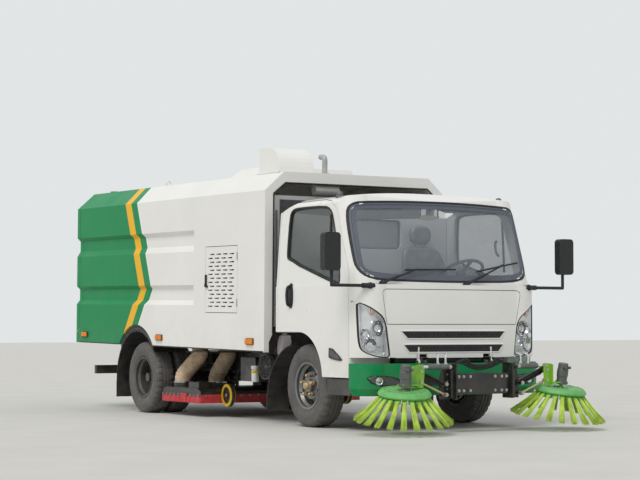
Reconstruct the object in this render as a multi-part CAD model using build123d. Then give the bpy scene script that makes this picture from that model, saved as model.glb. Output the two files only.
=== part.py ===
"""Street sweeper truck: a light cab-over lorry with a raked box body, a suction nozzle and two side brushes.

Every size is in millimetres. X runs forward from the front axle, Y to the vehicle's left and Z up from the
road. At the end all pieces are shifted along X so that the origin lies under the middle of the whole vehicle.
"""
from build123d import *
import os
from math import cos, radians, sin, sqrt

os.makedirs("parts", exist_ok=True)

# Running gear
WHEELBASE = 3360
TYRE_R = 375
TYRE_W = 214
RIM_R = 212
FRONT_FACE = 920
REAR_FACE = 984
TWIN_PITCH = 240
KINGPIN_Y = 690
SPINDLE_R = 30
RUNNING_FIT = 0.05

# Leaf springs
SPRING_RISE = 70
LEAF_PITCH = 11
LEAF_T = 11.5
SPRINGS = (
    # centre x, length, y, seat z
    (0, 1150, 370, 352),
    (-WHEELBASE, 1300, 460, TYRE_R + 58),
)

# Ladder frame
RAIL_Y = 370
RAIL_Z = (470, 645)
RAIL_X = (-4640, 1060)
RAIL_FLANGE = 62
RAIL_T = 9
TOW_X = -4738
TOW_R = 21

# Cab
CAB_WALL = 45
GAP = 6
CAB_PIVOT = (1030, 600)

# Box body, level in its own frame and then set on the rake of the unladen truck
RAKE = 0.86
BODY_X = (-4999, -625)
BODY_HALF = 1018
BODY_Z = (660, 2357)
CHAMFER_Y = 816
CHAMFER_Z = 2177
BODY_WALL = 52
GROOVES = ((1093, 1142, 1260, 1296), (1632, 1694, 1807, 1845))
GROOVE_DEPTH = 38
GROOVE_FRONT = -2100
BULKHEAD_X = -2060
HOPPER_FLOOR_Z = 885
TIP_PIVOT = (-4560, 712)
RAM_BASE = (-2400, 520)
RAM_EYE = (-3560, 720)
TAILGATE_T = 78
TAILGATE_PIVOT = (-5002, 2380)
ARCH_CENTRE = (-3470, 350)
ARCH_R = 520
FRONT_GUARD = [(-250, 742), (-330, 722), (-420, 682), (-500, 626), (-580, 548), (-640, 455), (-680, 355),
               (-700, 255), (-706, 132)]

# Louvred service door in the body side
LOUVRE_X = (-1840, -1170)
LOUVRE_Z = (1026, 1668)
EXHAUST_AT = (-718, -318)
EXHAUST_TOP = 2522
LOW_BOX = (
    # height, plan outline of the chamfered box behind the hood
    (BODY_Z[1], ((-1830, -760), (-1180, -760), (-1180, 320), (-1830, 320))),
    (BODY_Z[1] + 88, ((-1690, -700), (-1180, -700), (-1180, 260), (-1690, 260))),
)

# Suction nozzle
NOZZLE_X = (-2960, -2080)
NOZZLE_HALF = 935
NOZZLE_Z = 228
SKIRT_DROP = 88
POST_AT = (-2540, 278)
POST_R = 18
HOSE_R = 92
HOSES_FOOT = ((-2775, -785), (-2530, -520))
HOSES_TOP = ((-2640, -665), (-2365, -478))
CASTER_AT = (-1955, 690, 222)
CASTER_R = 115

# Front sweeping gear
BEAM_X = 1400
BEAM_Z = 420
BRACKET_Y = 346
BRUSH_AT = (1479, 820, 345)
BRUSH_DISC_R = 230
BRUSH_TIP_R = 428
BRUSH_DROP = 235
BRUSH_TUFTS = 22
BRUSH_FORWARD = 8.2
BRUSH_OUTWARD = 2.3
ARM_PIVOT = (400, 420)
ARM_END = (662, 530)
LIFT_PIVOT = (362, 567)
LIFT_EYE = (653, 567)
TIE_PIVOT = (400, 330)
TIE_EYE = (662, 440)


def block(x, y, z):
    """A box between the low and high values of each axis."""
    size = (x[1] - x[0], y[1] - y[0], z[1] - z[0])
    return Pos((x[0] + x[1]) / 2, (y[0] + y[1]) / 2, (z[0] + z[1]) / 2) * Box(*size)


def slab_y(points, y):
    """A side-view outline of (x, z) points, as thick as the y span."""
    outline = Face(Wire.make_polygon([(px, y[0], pz) for px, pz in points], close=True))
    return Solid.extrude(outline, Vector(0, y[1] - y[0], 0))


def slab_x(points, x):
    """A front-view outline of (y, z) points, as thick as the x span."""
    outline = Face(Wire.make_polygon([(x[0], py, pz) for py, pz in points], close=True))
    return Solid.extrude(outline, Vector(x[1] - x[0], 0, 0))


def slab_z(points, z):
    """A plan outline of (x, y) points, as thick as the z span."""
    outline = Face(Wire.make_polygon([(px, py, z[0]) for px, py in points], close=True))
    return Solid.extrude(outline, Vector(0, 0, z[1] - z[0]))


def rod(start, end, radius):
    """A round bar from one point to another."""
    run = Vector(*end) - Vector(*start)
    return Plane(origin=start, z_dir=run) * Cylinder(radius, run.length, align=(Align.CENTER, Align.CENTER, Align.MIN))


def rod_y(x, z, y, radius):
    """A round bar along Y."""
    return rod((x, y[0], z), (x, y[1], z), radius)


def rod_x(y, z, x, radius):
    """A round bar along X."""
    return rod((x[0], y, z), (x[1], y, z), radius)


def ring_y(x, z, y, outer, inner):
    """A round tube along Y."""
    return rod_y(x, z, y, outer) - rod_y(x, z, (y[0] - 1, y[1] + 1), inner)


def other_side(shape):
    """The same shape on the other side of the truck."""
    return mirror(shape, about=Plane.XZ)


def both_sides(shape):
    """The shape and its mirror image, fused if they meet."""
    return shape + other_side(shape)


def side_of(shape, side):
    """The shape for the left side (+1) or the right side (-1)."""
    return shape if side > 0 else other_side(shape)


def spun_y(profile, x, z):
    """A half section of (radius, y) points turned about an axis along Y."""
    outline = Face(Wire.make_polygon([(x + r, y, z) for r, y in profile], close=True))
    return revolve(outline, Axis((x, 0, z), (0, 1, 0)), 360)


parts = {}


# Cab outlines. Front view: (y, z) of the round roof edge. Side view: (x, z) of the rear wall and the roof
CAB_ROOF_EDGE = ((944, 1962), (913, 2034), (838, 2064))
CAB_CROWN = 2110
CAB_REAR = ((-465, 455), (-464, 1259), (-432, 1975))
CAB_REAR_ROUND = ((-396, 2050), (-290, 2095))
CAB_BROW = ((420, 2103), (680, 2074), (800, 1990))

# Front of the cab in two bands, each a bowed nose, a round corner and a straight side. The waist is their step
CAB_BANDS = (
    # z low, z high, level of the sizes, nose x, corner (x, y), corner middle (x, y), side (x, y), lean x, lean y
    (455, 1275, 923, 1050, (1003, 700), (963, 891), (850, 973), 0.0, 0.0),
    (1275, 2140, 1312, 968, (918, 735), (888, 896), (800, 966), -0.3, -0.045),
)


def bow_at(nose_x, corner, y):
    """X of the bowed front at a distance from the centre line."""
    sag = nose_x - corner[0]
    bow_r = (corner[1] ** 2 + sag ** 2) / (2 * sag)
    return nose_x - bow_r + sqrt(bow_r ** 2 - y ** 2)


def cab_band(band, inset):
    """One leaning band of the cab's front, left half mirrored to the right."""
    z_low, z_high, level, nose_x, corner, middle, side, lean_x, lean_y = band
    nose_x -= inset
    corner = (corner[0] - inset, corner[1] - 0.3 * inset)
    middle = (middle[0] - 0.75 * inset, middle[1] - 0.65 * inset)
    side = (side[0] - 0.3 * inset, side[1] - inset)
    lean = Vector(lean_x, lean_y, 1).normalized()
    base = Vector(0, 0, level)

    def flat(x, y):
        point = Vector(x, y, level)
        return point - lean * (point - base).dot(lean)

    past = -150
    edges = [
        Edge.make_three_point_arc(flat(bow_at(nose_x, corner, past), past), flat(bow_at(nose_x, corner, 300), 300),
                                  flat(*corner)),
        Edge.make_three_point_arc(flat(*corner), flat(*middle), flat(*side)),
        Edge.make_line(flat(*side), flat(-900, side[1])),
        Edge.make_line(flat(-900, side[1]), flat(-900, past)),
        Edge.make_line(flat(-900, past), flat(bow_at(nose_x, corner, past), past)),
    ]
    outline = Face(Wire(edges))
    prism = Solid.extrude(outline, lean * 1400)
    prism = Pos(*(lean * -700)) * prism
    left = prism & block((-1200, 1200), (0, 1100), (z_low, z_high))
    return left + other_side(left)


def cab_front(inset):
    """The two bands of the cab front, fused."""
    return cab_band(CAB_BANDS[0], inset) + cab_band(CAB_BANDS[1], inset)


def cab_across(inset):
    """Front-view outline of the cab along its whole length."""
    start, mid, end = CAB_ROOF_EDGE
    start = (start[0] - inset, start[1])
    mid = (mid[0] - 0.8 * inset, mid[1] - 0.6 * inset)
    end = (end[0] - 0.4 * inset, end[1] - inset)
    crown_z = CAB_CROWN - inset
    wide = 1020
    edges = [Edge.make_line((0, wide, 400), (0, -wide, 400))]
    for sign in (1, -1):
        edges.append(Edge.make_line((0, sign * wide, 400), (0, sign * wide, start[1])))
        edges.append(Edge.make_line((0, sign * wide, start[1]), (0, sign * start[0], start[1])))
        edges.append(Edge.make_three_point_arc((0, sign * start[0], start[1]), (0, sign * mid[0], mid[1]),
                                               (0, sign * end[0], end[1])))
    edges.append(Edge.make_three_point_arc((0, end[0], end[1]), (0, 0, crown_z), (0, -end[0], end[1])))
    return Pos(-700, 0, 0) * Solid.extrude(Face(Wire(edges)), Vector(2100, 0, 0))


def cab_along(inset):
    """Side-view outline of the cab's rear wall and roof across its whole width."""
    rear = [(x + inset, z) for x, z in CAB_REAR]
    rear_mid, rear_end = [(x + 0.7 * inset, z - 0.7 * inset) for x, z in CAB_REAR_ROUND]
    brow = [(x - 0.7 * inset, z - 0.7 * inset) for x, z in CAB_BROW]
    top = (30, CAB_CROWN - inset)
    floor_z = rear[0][1]
    edges = [Edge.make_line((x0, 0, z0), (x1, 0, z1)) for (x0, z0), (x1, z1) in zip(rear, rear[1:])]
    edges += [
        Edge.make_three_point_arc((rear[-1][0], 0, rear[-1][1]), (rear_mid[0], 0, rear_mid[1]),
                                  (rear_end[0], 0, rear_end[1])),
        Edge.make_three_point_arc((rear_end[0], 0, rear_end[1]), (top[0], 0, top[1]), (brow[0][0], 0, brow[0][1])),
        Edge.make_three_point_arc((brow[0][0], 0, brow[0][1]), (brow[1][0], 0, brow[1][1]),
                                  (brow[2][0], 0, brow[2][1])),
        Edge.make_line((brow[2][0], 0, brow[2][1]), (1300, 0, 1300)),
        Edge.make_line((1300, 0, 1300), (1300, 0, floor_z)),
        Edge.make_line((1300, 0, floor_z), (rear[0][0], 0, floor_z)),
    ]
    return Pos(0, -1100, 0) * Solid.extrude(Face(Wire(edges)), Vector(0, 2200, 0))


def cab_hood(inset):
    """Front and side outlines of the cab together, without its shaped front."""
    return cab_across(inset) & cab_along(inset)


def cab_form(inset):
    """The closed outer form of the cab, moved inwards by the inset."""
    return cab_hood(inset) & cab_front(inset)


# Side outline of the cab's underside: over the wheel, down to the step and up to the bumper
FLOOR_Z = 862
SILL_Z = 464
TUNNEL_HALF = 560
CAB_ARCH = (-42, 442, 420)
WELL_R = (455, 330)
WELL_Z = (300, 540, 780)
WELL_Y = (300, 905)


def arch_points(centre_x, centre_z, radius, low, high, steps):
    """Points on an arc of a wheel arch between two angles in degrees."""
    points = []
    for i in range(steps + 1):
        a = radians(low + (high - low) * i / steps)
        points.append((centre_x + radius * cos(a), centre_z + radius * sin(a)))
    return points


def cab_underside(lift):
    """Everything under the cab floor, which the lift raises to make the floor's top."""
    x, z, radius = CAB_ARCH
    arch = arch_points(x, z, radius + lift, 90, 3, 9)
    outline = [(-600, 300), (-600, FLOOR_Z + lift)] + arch
    outline += [(arch[-1][0], SILL_Z + lift), (842 - lift, SILL_Z + lift), (842 - lift, 640 + lift)]
    outline += [(1200, 640 + lift), (1200, 300)]
    return slab_y(outline, (-1100, 1100))


def wheel_wells(lift):
    """Room for the steered wheels inside the arches, which the lift grows to the far side of its wall."""
    wide, narrow = WELL_R
    low, middle, high = WELL_Z
    upright = (Align.CENTER, Align.CENTER, Align.MIN)
    well = Pos(0, KINGPIN_Y, low) * Cylinder(wide + lift, middle - low, align=upright)
    well += Pos(0, KINGPIN_Y, middle) * Cone(wide + lift, narrow + lift, high + lift - middle, align=upright)
    well &= block((-600, 600), (WELL_Y[0], WELL_Y[1] + lift), (low, high + lift))
    return both_sides(well)


DOOR_OUTLINE = [
    (-425, 876), (-425, 1820), (-405, 1940), (-345, 2012), (-255, 2038), (330, 2038), (455, 2022),
    (550, 1965), (612, 1860), (762, 1480), (798, 1380), (822, 1250), (822, 400), (400, 400),
]
WINDOW_OUTLINE = [
    (-270, 1520), (-282, 1600), (-256, 1920), (-215, 1975), (-100, 1988), (370, 1980), (462, 1950),
    (520, 1885), (655, 1450), (672, 1310), (655, 1284), (600, 1284),
]
SCREEN_HALF = [(0, 1300), (650, 1310), (800, 1327), (872, 1362), (908, 1425), (914, 1500), (914, 1720),
               (908, 1860), (896, 1945), (860, 1988), (790, 2008), (400, 2021), (0, 2024)]
REAR_WINDOW = [
    (-362, 1680), (-332, 1650), (332, 1650), (362, 1680), (362, 1902), (332, 1932), (-332, 1932), (-362, 1902),
]
STEERING_AT = (380, 520, 1398)
SEATS = (
    # centre y, half width, top of the back, the driver's first
    (525, 245, 1690),
    (-430, 300, 1600),
)
LAMP_OUTLINE = [(712, 997), (672, 870), (654, 637), (870, 655), (1000, 712), (1000, 1148), (900, 1105)]
FLAP_OUTLINE = [
    (-683, 931), (683, 931), (700, 1000), (732, 1190), (729, 1215), (700, 1230), (-700, 1230), (-729, 1215),
    (-732, 1190), (-700, 1000),
]
SLOTS = (
    # z low, z high, half width low, half width high
    (836, 866, 500, 556),
    (718, 748, 478, 530),
)


def windscreen_outline(inset):
    """Front-view outline of the windscreen, drawn smaller by the inset."""
    shrink = []
    for y, z in SCREEN_HALF:
        shrink.append((max(0, y - inset) if y else 0, z + inset if z < 1500 else z - inset))
    left = [(-y, z) for y, z in reversed(shrink[1:-1])]
    return shrink + left


def build_cab():
    """Cab shell, doors, glass, lamps and the fittings seen through the glass."""
    inner_form = cab_form(CAB_WALL)
    tunnel = block((-700, 1300), (-TUNNEL_HALF, TUNNEL_HALF), (300, FLOOR_Z))
    tunnel_skin = block((-700, 1300), (-TUNNEL_HALF - CAB_WALL, TUNNEL_HALF + CAB_WALL), (300, FLOOR_Z + CAB_WALL))
    inner = inner_form - cab_underside(CAB_WALL) - tunnel_skin - wheel_wells(CAB_WALL)
    skin = cab_form(0) - cab_underside(0) - inner - (inner_form & tunnel) - wheel_wells(0)

    door_cut = slab_y(DOOR_OUTLINE, (640, 1100))
    door_room = offset(Face(Wire.make_polygon([(x, 0, z) for x, z in DOOR_OUTLINE], close=True)), GAP)
    door_room = Pos(0, 640, 0) * extrude(door_room, 460, dir=(0, 1, 0))
    window_cut = slab_y(WINDOW_OUTLINE, (640, 1100))
    wall = (cab_front(0) - cab_front(CAB_WALL)) & cab_hood(0)
    door = (wall & door_cut) - cab_underside(0) - window_cut
    pane = (cab_front(14) - cab_front(20)) & window_cut
    for name, side in (("left", 1), ("right", -1)):
        parts["door_" + name] = side_of(door, side)
        parts["door_glass_" + name] = side_of(pane, side)

    door_room = door_room - cab_front(CAB_WALL + GAP)
    shell = skin - door_room - other_side(door_room)
    shell -= slab_x(windscreen_outline(22), (560, 1200))
    shell -= slab_x(REAR_WINDOW, (-600, -300))
    lamp_room = slab_x(LAMP_OUTLINE, (856, 1200))
    shell -= lamp_room
    shell -= other_side(lamp_room)
    flap_face = Face(Wire.make_polygon([(900, y, z) for y, z in FLAP_OUTLINE], close=True))
    shell -= extrude(offset(flap_face, GAP), 300, dir=(1, 0, 0))
    for low, high, half_low, half_high in SLOTS:
        shell -= slab_x([(-half_low, low), (half_low, low), (half_high, high), (-half_high, high)], (900, 1200))
    shell -= block((940, 1200), (-592, 592), (600, 668))
    # Ears that hang the cab on the frame's pivot pins
    pivot_x, pivot_z = CAB_PIVOT
    ear = block((pivot_x - 24, pivot_x + 10), (378, 394), (pivot_z, 730)) + rod_y(pivot_x, pivot_z, (378, 394), 24)
    ear -= rod_y(pivot_x, pivot_z, (370, 400), 14 + RUNNING_FIT)
    shell += ear
    shell += other_side(ear)
    parts["cab_shell"] = shell.solids().sort_by(SortBy.VOLUME)[-1]

    low_band, high_band = CAB_BANDS
    parts["front_flap"] = (cab_band(low_band, 0) - cab_band(low_band, 20)) & slab_x(FLAP_OUTLINE, (900, 1200))

    glass_front = (cab_band(high_band, 8) - cab_band(high_band, 16)) & slab_x(windscreen_outline(24), (560, 1200))
    glass_rear = (cab_hood(14) - cab_hood(20)) & slab_x([(y * 0.99, z) for y, z in REAR_WINDOW], (-600, -300))
    parts["cab_glass"] = Compound([glass_front.solid(), glass_rear.solid()])

    lamp = (cab_band(low_band, 3) - cab_band(low_band, 60)) & lamp_room
    roof_lamp = Pos(505, 866, 2030) * Cylinder(24, 60, align=(Align.CENTER, Align.CENTER, Align.MIN))
    roof_lamp += Pos(505, 866, 2090) * Sphere(24)
    roof_lamp -= cab_form(-1)
    parts["front_lamps"] = Compound([lamp.solid(), other_side(lamp).solid(), roof_lamp.solid(),
                                     other_side(roof_lamp).solid()])

    # Seats, dashboard and steering wheel, seen through the glass
    cushions = []
    for centre_y, half, top in SEATS:
        cushion = block((-240, 250), (centre_y - half, centre_y + half), (FLOOR_Z + CAB_WALL, 1130))
        back = slab_y([(-365, 1130), (-200, 1130), (-260, top), (-355, top)], (centre_y - half, centre_y + half))
        cushions.append(cushion + back)
    driver_y, _, driver_top = SEATS[0]
    cushions[0] += block((-345, -265), (driver_y - 130, driver_y + 130), (driver_top - 20, driver_top + 205))
    cushions = [cushion.solid() for cushion in cushions]
    parts["seats"] = Compound(cushions)

    dash = slab_y([(560, 1020), (500, 1080), (520, 1240), (640, 1300), (760, 1286), (800, 1240), (800, 1020)],
                  (-860, 860))
    wheel_x, wheel_y, wheel_z = STEERING_AT
    column = rod((wheel_x + 181, wheel_y, wheel_z - 274), (wheel_x + 4, wheel_y, wheel_z - 6), 28)
    rim_plane = Plane(origin=STEERING_AT, z_dir=(-0.55, 0, 0.83))
    rim = rim_plane * Torus(215, 15)
    spokes = rim_plane * Box(420, 34, 14) + rim_plane * Cylinder(44, 40)
    parts["dashboard"] = dash + column + rim + spokes

    mirror_housing = block((955, 1030), (1172, 1332), (1385, 1712))
    mirror_housing = fillet(mirror_housing.edges().filter_by(Axis.X), 34)
    arm = rod((985, 830, 1262), (985, 1238, 1262), 14) + Pos(985, 1238, 1262) * Sphere(14)
    arm += rod((985, 1238, 1262), (985, 1238, 1400), 14)
    arm += rod((985, 810, 1262), (985, 930, 1262), 22)
    mirror_arm = (mirror_housing + arm) - cab_form(-0.5)
    mirror_arm = mirror_arm.solids().sort_by(SortBy.VOLUME)[-1]
    parts["mirrors"] = Compound([mirror_arm, other_side(mirror_arm).solid()])


def rim_barrel(centre_y):
    """One drop-centre rim with its two flanges."""
    half = TYRE_W / 2
    bead = RIM_R - 8
    line = [
        (RIM_R + 6, -half + 9), (RIM_R + 6, -half + 16), (bead, -half + 23), (bead, -half + 38), (184, -half + 58),
        (184, half - 58), (bead, half - 38), (bead, half - 23), (RIM_R + 6, half - 16), (RIM_R + 6, half - 9),
        (bead - 9, half - 15), (bead - 9, half - 40), (174, half - 62), (174, -half + 62), (bead - 9, -half + 40),
        (bead - 9, -half + 15),
    ]
    return [(r, centre_y + y) for r, y in line]


def build_wheels():
    """Tyres and rims of the two front wheels and the two rear twins."""
    half = TYRE_W / 2
    bead = RIM_R - 8
    tread = [
        (bead, -half + 26), (bead + 40, -half + 6), (bead + 92, -half), (TYRE_R - 28, -half + 8),
        (TYRE_R - 6, -half + 24), (TYRE_R, -half + 56),
    ]
    tyre_profile = tread + [(r, -y) for r, y in reversed(tread)]
    bore = SPINDLE_R + RUNNING_FIT

    front_y = FRONT_FACE - half
    tyre = spun_y([(r, front_y + y) for r, y in tyre_profile], 0, TYRE_R)
    disc = [(bore, -30), (72, -30), (72, 44), (112, 44), (146, 14), (156, -8), (178, -8), (178, 2), (164, 4), (152, 28),
            (120, 56), (62, 56), (58, 84), (bore, 84)]
    drum = [(72, -30), (150, -30), (150, -90), (160, -90), (160, -20), (72, -20)]
    front_rim = spun_y(rim_barrel(front_y), 0, TYRE_R)
    front_rim += spun_y([(r, front_y + y) for r, y in disc], 0, TYRE_R)
    front_rim += spun_y([(r, front_y + y) for r, y in drum], 0, TYRE_R)
    for i in range(5):
        nut_at = radians(90 + 72 * i)
        hole_at = radians(54 + 72 * i)
        front_rim += rod_y(92 * cos(nut_at), TYRE_R + 92 * sin(nut_at), (front_y + 50, front_y + 80), 15)
        front_rim -= rod_y(136 * cos(hole_at), TYRE_R + 136 * sin(hole_at), (front_y - 15, front_y + 90), 18)

    outer_y = REAR_FACE - half
    inner_y = outer_y - TWIN_PITCH
    mid = (outer_y + inner_y) / 2
    twin_tyres = [spun_y([(r, y + c) for r, y in tyre_profile], -WHEELBASE, TYRE_R) for c in (outer_y, inner_y)]
    outer_disc = [(72, mid), (140, mid), (158, mid + 22), (164, mid + 60), (180, mid + 62), (180, mid + 70),
                  (156, mid + 68), (148, mid + 28), (134, mid + 12), (72, mid + 12)]
    hub = [(bore + 15, mid - 70), (86, mid - 70), (86, mid + 30), (76, mid + 96), (bore + 15, mid + 96)]
    twin = spun_y(hub, -WHEELBASE, TYRE_R)
    for shape in (outer_disc, [(r, 2 * mid - y) for r, y in outer_disc], rim_barrel(outer_y), rim_barrel(inner_y)):
        twin += spun_y(shape, -WHEELBASE, TYRE_R)
    for i in range(5):
        at = radians(90 + 72 * i)
        twin += rod_y(-WHEELBASE + 112 * cos(at), TYRE_R + 112 * sin(at), (mid + 8, mid + 36), 15)
    for name, side in (("left", 1), ("right", -1)):
        parts["front_tyre_" + name] = side_of(tyre, side)
        parts["front_rim_" + name] = side_of(front_rim, side)
        parts["rear_tyres_" + name] = Compound([side_of(t, side).solid() for t in twin_tyres])
        parts["rear_rims_" + name] = side_of(twin, side)


def build_running_gear():
    """Axles, springs, knuckles and the drive line."""
    spindle_z = TYRE_R
    half = TYRE_W / 2
    front_y = FRONT_FACE - half

    # Forged front beam, dropped in the middle, with an eye for each kingpin
    beam = slab_x([(-600, 335), (-520, 285), (520, 285), (600, 335), (KINGPIN_Y - 20, 345), (KINGPIN_Y - 20, 405),
                   (560, 395), (480, 345), (-480, 345), (-560, 395), (-KINGPIN_Y + 20, 405), (-KINGPIN_Y + 20, 345)],
                  (-32, 32))
    eye = rod((0, KINGPIN_Y, 336), (0, KINGPIN_Y, 414), 36) - rod((0, KINGPIN_Y, 300), (0, KINGPIN_Y, 450), 16.05)
    beam = beam - rod((0, KINGPIN_Y, 300), (0, KINGPIN_Y, 450), 16.05)
    beam = beam - rod((0, -KINGPIN_Y, 300), (0, -KINGPIN_Y, 450), 16.05)
    pads = block((-75, 75), (330, 410), (343, 352)) + block((-75, 75), (-410, -330), (343, 352))
    parts["front_axle"] = beam + both_sides(eye) + pads

    # Knuckle: two ears and a kingpin round the beam's eye, a web and the stub axle
    ears = rod((0, KINGPIN_Y, 416), (0, KINGPIN_Y, 440), 36) + rod((0, KINGPIN_Y, 310), (0, KINGPIN_Y, 334), 36)
    web = block((-40, 40), (KINGPIN_Y + 38, KINGPIN_Y + 54), (310, 440))
    web += block((-30, 30), (KINGPIN_Y, KINGPIN_Y + 54), (416, 440))
    web += block((-30, 30), (KINGPIN_Y, KINGPIN_Y + 54), (310, 334))
    knuckle = ears + web + rod((0, KINGPIN_Y, 310), (0, KINGPIN_Y, 440), 16)
    knuckle += rod_y(0, spindle_z, (KINGPIN_Y + 46, front_y + 78), SPINDLE_R)
    knuckle += block((-180, 0), (KINGPIN_Y - 26, KINGPIN_Y + 10), (312, 334))
    parts["knuckle_left"] = knuckle
    parts["knuckle_right"] = other_side(knuckle)

    # Rear axle: tube, pot for the final drive and the propeller shaft forward to the gearbox
    axle = rod_y(-WHEELBASE, spindle_z, (-REAR_FACE + 60, REAR_FACE - 60), SPINDLE_R + 15)
    axle += rod_y(-WHEELBASE, spindle_z, (-560, 560), 58)
    pot = Pos(-WHEELBASE, 0, spindle_z) * Sphere(150)
    pot &= block((-WHEELBASE - 150, -WHEELBASE + 150), (-110, 110), (200, 560))
    axle += pot + rod_x(0, spindle_z, (-WHEELBASE, -WHEELBASE + 230), 62)
    shaft = rod((-WHEELBASE + 230, 0, spindle_z), (-1008, 0, 430), 38)
    parts["rear_axle"] = axle + shaft

    # Leaf springs: arched packs with their shackle plates
    springs = []
    for centre_x, length, spring_y, seat_z in SPRINGS:
        pack = []
        for i in range(4):
            reach = length / 2 - 110 * i
            rise = SPRING_RISE * (reach / (length / 2)) ** 2
            z0 = seat_z + LEAF_PITCH * (3 - i)
            arc = [(centre_x - reach, z0 + rise), (centre_x - reach / 2, z0 + rise / 4), (centre_x, z0),
                   (centre_x + reach / 2, z0 + rise / 4), (centre_x + reach, z0 + rise)]
            outline = arc + [(x, z + LEAF_T) for x, z in reversed(arc)]
            pack.append(slab_y(outline, (spring_y - 35, spring_y + 35)))
        pack = pack[0] + pack[1:]
        springs.append(pack.solid())
        springs.append(other_side(pack).solid())
    parts["leaf_springs"] = Compound(springs)


def build_frame():
    """Ladder frame, engine and the things bolted to the rails."""
    low, high = RAIL_Z
    rail = block(RAIL_X, (RAIL_Y - RAIL_T, RAIL_Y), (low, high))
    for z in (low, high - RAIL_T):
        rail += block(RAIL_X, (RAIL_Y - RAIL_FLANGE, RAIL_Y), (z, z + RAIL_T))
    frame = both_sides(rail)
    for x in (-4600, -3740, RAM_BASE[0] + 80, -1700, -1120, 900):
        frame += block((x - 35, x + 35), (-RAIL_Y + RAIL_T, RAIL_Y - RAIL_T), (low + 20, high - 30))
    # Spring hangers below and beside the rails
    for centre_x, length, spring_y, seat_z in SPRINGS:
        top_z = seat_z + SPRING_RISE + 3 * LEAF_PITCH + LEAF_T
        for x in (centre_x - length / 2, centre_x + length / 2):
            hanger = block((x - 30, x + 30), (spring_y - 45, spring_y + 45), (top_z, top_z + 46))
            hanger += block((x - 30, x + 30), (RAIL_Y - 2, spring_y + 45), (top_z, top_z + 80))
            frame += both_sides(hanger)
    # Arms that carry the sweeping gear ahead of the bumper
    arm_high = (BEAM_Z - 20, BEAM_Z + 40)
    frame += both_sides(block((1040, BEAM_X - 60), (316, 376), arm_high) + block((1000, 1060), (316, 376), (arm_high[0], 520)))
    # Pivot pins for the cab at the front, the tipping body at the rear and the ram's foot
    pivot_x, pivot_z = CAB_PIVOT
    lug = block((pivot_x - 24, pivot_x + 24), (309, 345), (520, pivot_z)) + rod_y(pivot_x, pivot_z, (309, 345), 24)
    lug += rod_y(pivot_x, pivot_z, (320, 396), 14)
    frame += both_sides(lug)
    tip_x, tip_z = TIP_PIVOT
    lug = block((tip_x - 40, tip_x + 40), (RAIL_Y - 30, RAIL_Y), (600, tip_z)) + rod_y(tip_x, tip_z, (RAIL_Y - 30, RAIL_Y), 40)
    lug += rod_y(tip_x, tip_z, (RAIL_Y - 30, 440), 20)
    frame += both_sides(lug)
    ram_x, ram_z = RAM_BASE
    frame += both_sides(block((ram_x - 40, ram_x + 60), (52, 66), (ram_z - 30, ram_z + 40)))
    frame += rod_y(ram_x, ram_z, (-66, 66), 16)
    # Guides for the nozzle's posts, and the plate that holds the tops of the hoses
    post_x, post_y = POST_AT
    guide = rod((post_x, post_y, 500), (post_x, post_y, 600), 30) + block((post_x - 25, post_x + 25), (300, 365), (520, 600))
    guide -= rod((post_x, post_y, 400), (post_x, post_y, 700), POST_R + RUNNING_FIT)
    frame += both_sides(guide)
    plate = block((-2750, -2255), (-775, -366), (high, high + 12))
    for x, y in HOSES_TOP:
        plate -= rod((x, y, high - 20), (x, y, high + 20), HOSE_R + 1)
    frame += plate
    # Engine mounts, tank brackets, rests for the tipping body and the plate with the towing eye's hole
    for x in (-560, 60):
        frame += both_sides(block((x - 30, x + 30), (270, 362), (500, 560)))
    for x in (-1420, -1220):
        frame += both_sides(block((x - 20, x + 20), (369, 440), (480, 560)))
    frame += both_sides(block((-2200, -2130), (330, 370), (640, 718)))
    tow = block((TOW_X - 40, -4620), (-60, 60), (500, 525)) - rod((TOW_X, 0, 490), (TOW_X, 0, 540), TOW_R)
    frame += tow
    parts["chassis_frame"] = frame

    parts["engine_block"] = block((-750, 140), (-270, 270), (420, 800)) + block((-1000, -750), (-150, 150), (390, 600))
    parts["aux_engine"] = block((-1780, -900), (-330, 330), (645, 1330)) + block((-900, -820), (-280, 280), (760, 1280))
    tank = block((-1500, -760), (440, 820), (330, 620))
    tank = fillet(tank.edges().filter_by(Axis.X), 50)
    battery = block((-1480, -1180), (-800, -440), (380, 610))
    parts["side_tanks"] = Compound([tank.solid(), battery.solid()])


def bumper_section(z, grow, inset):
    """Plan outline of the front bumper at one height."""
    side = 985 + grow - inset
    corner_x = 1042 + grow - inset
    nose_x = 1092 + grow - inset
    rear = 850 - inset
    return Wire([
        Edge.make_line((rear, side, z), (880, side, z)),
        Edge.make_three_point_arc((880, side, z), (990, side - 62, z), (corner_x, 740, z)),
        Edge.make_three_point_arc((corner_x, 740, z), (nose_x, 0, z), (corner_x, -740, z)),
        Edge.make_three_point_arc((corner_x, -740, z), (990, -side + 62, z), (880, -side, z)),
        Edge.make_line((880, -side, z), (rear, -side, z)),
        Edge.make_line((rear, -side, z), (rear, side, z)),
    ])


def mudguard(centre_x, centre_z, radius, low, high, y, thick=8):
    """A curved sheet over a wheel between two angles, with a drop at its rear end."""
    outside = arch_points(centre_x, centre_z, radius, low, high, 12)
    inside = arch_points(centre_x, centre_z, radius - thick, high, low, 12)
    return slab_y(outside + inside, y)


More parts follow.
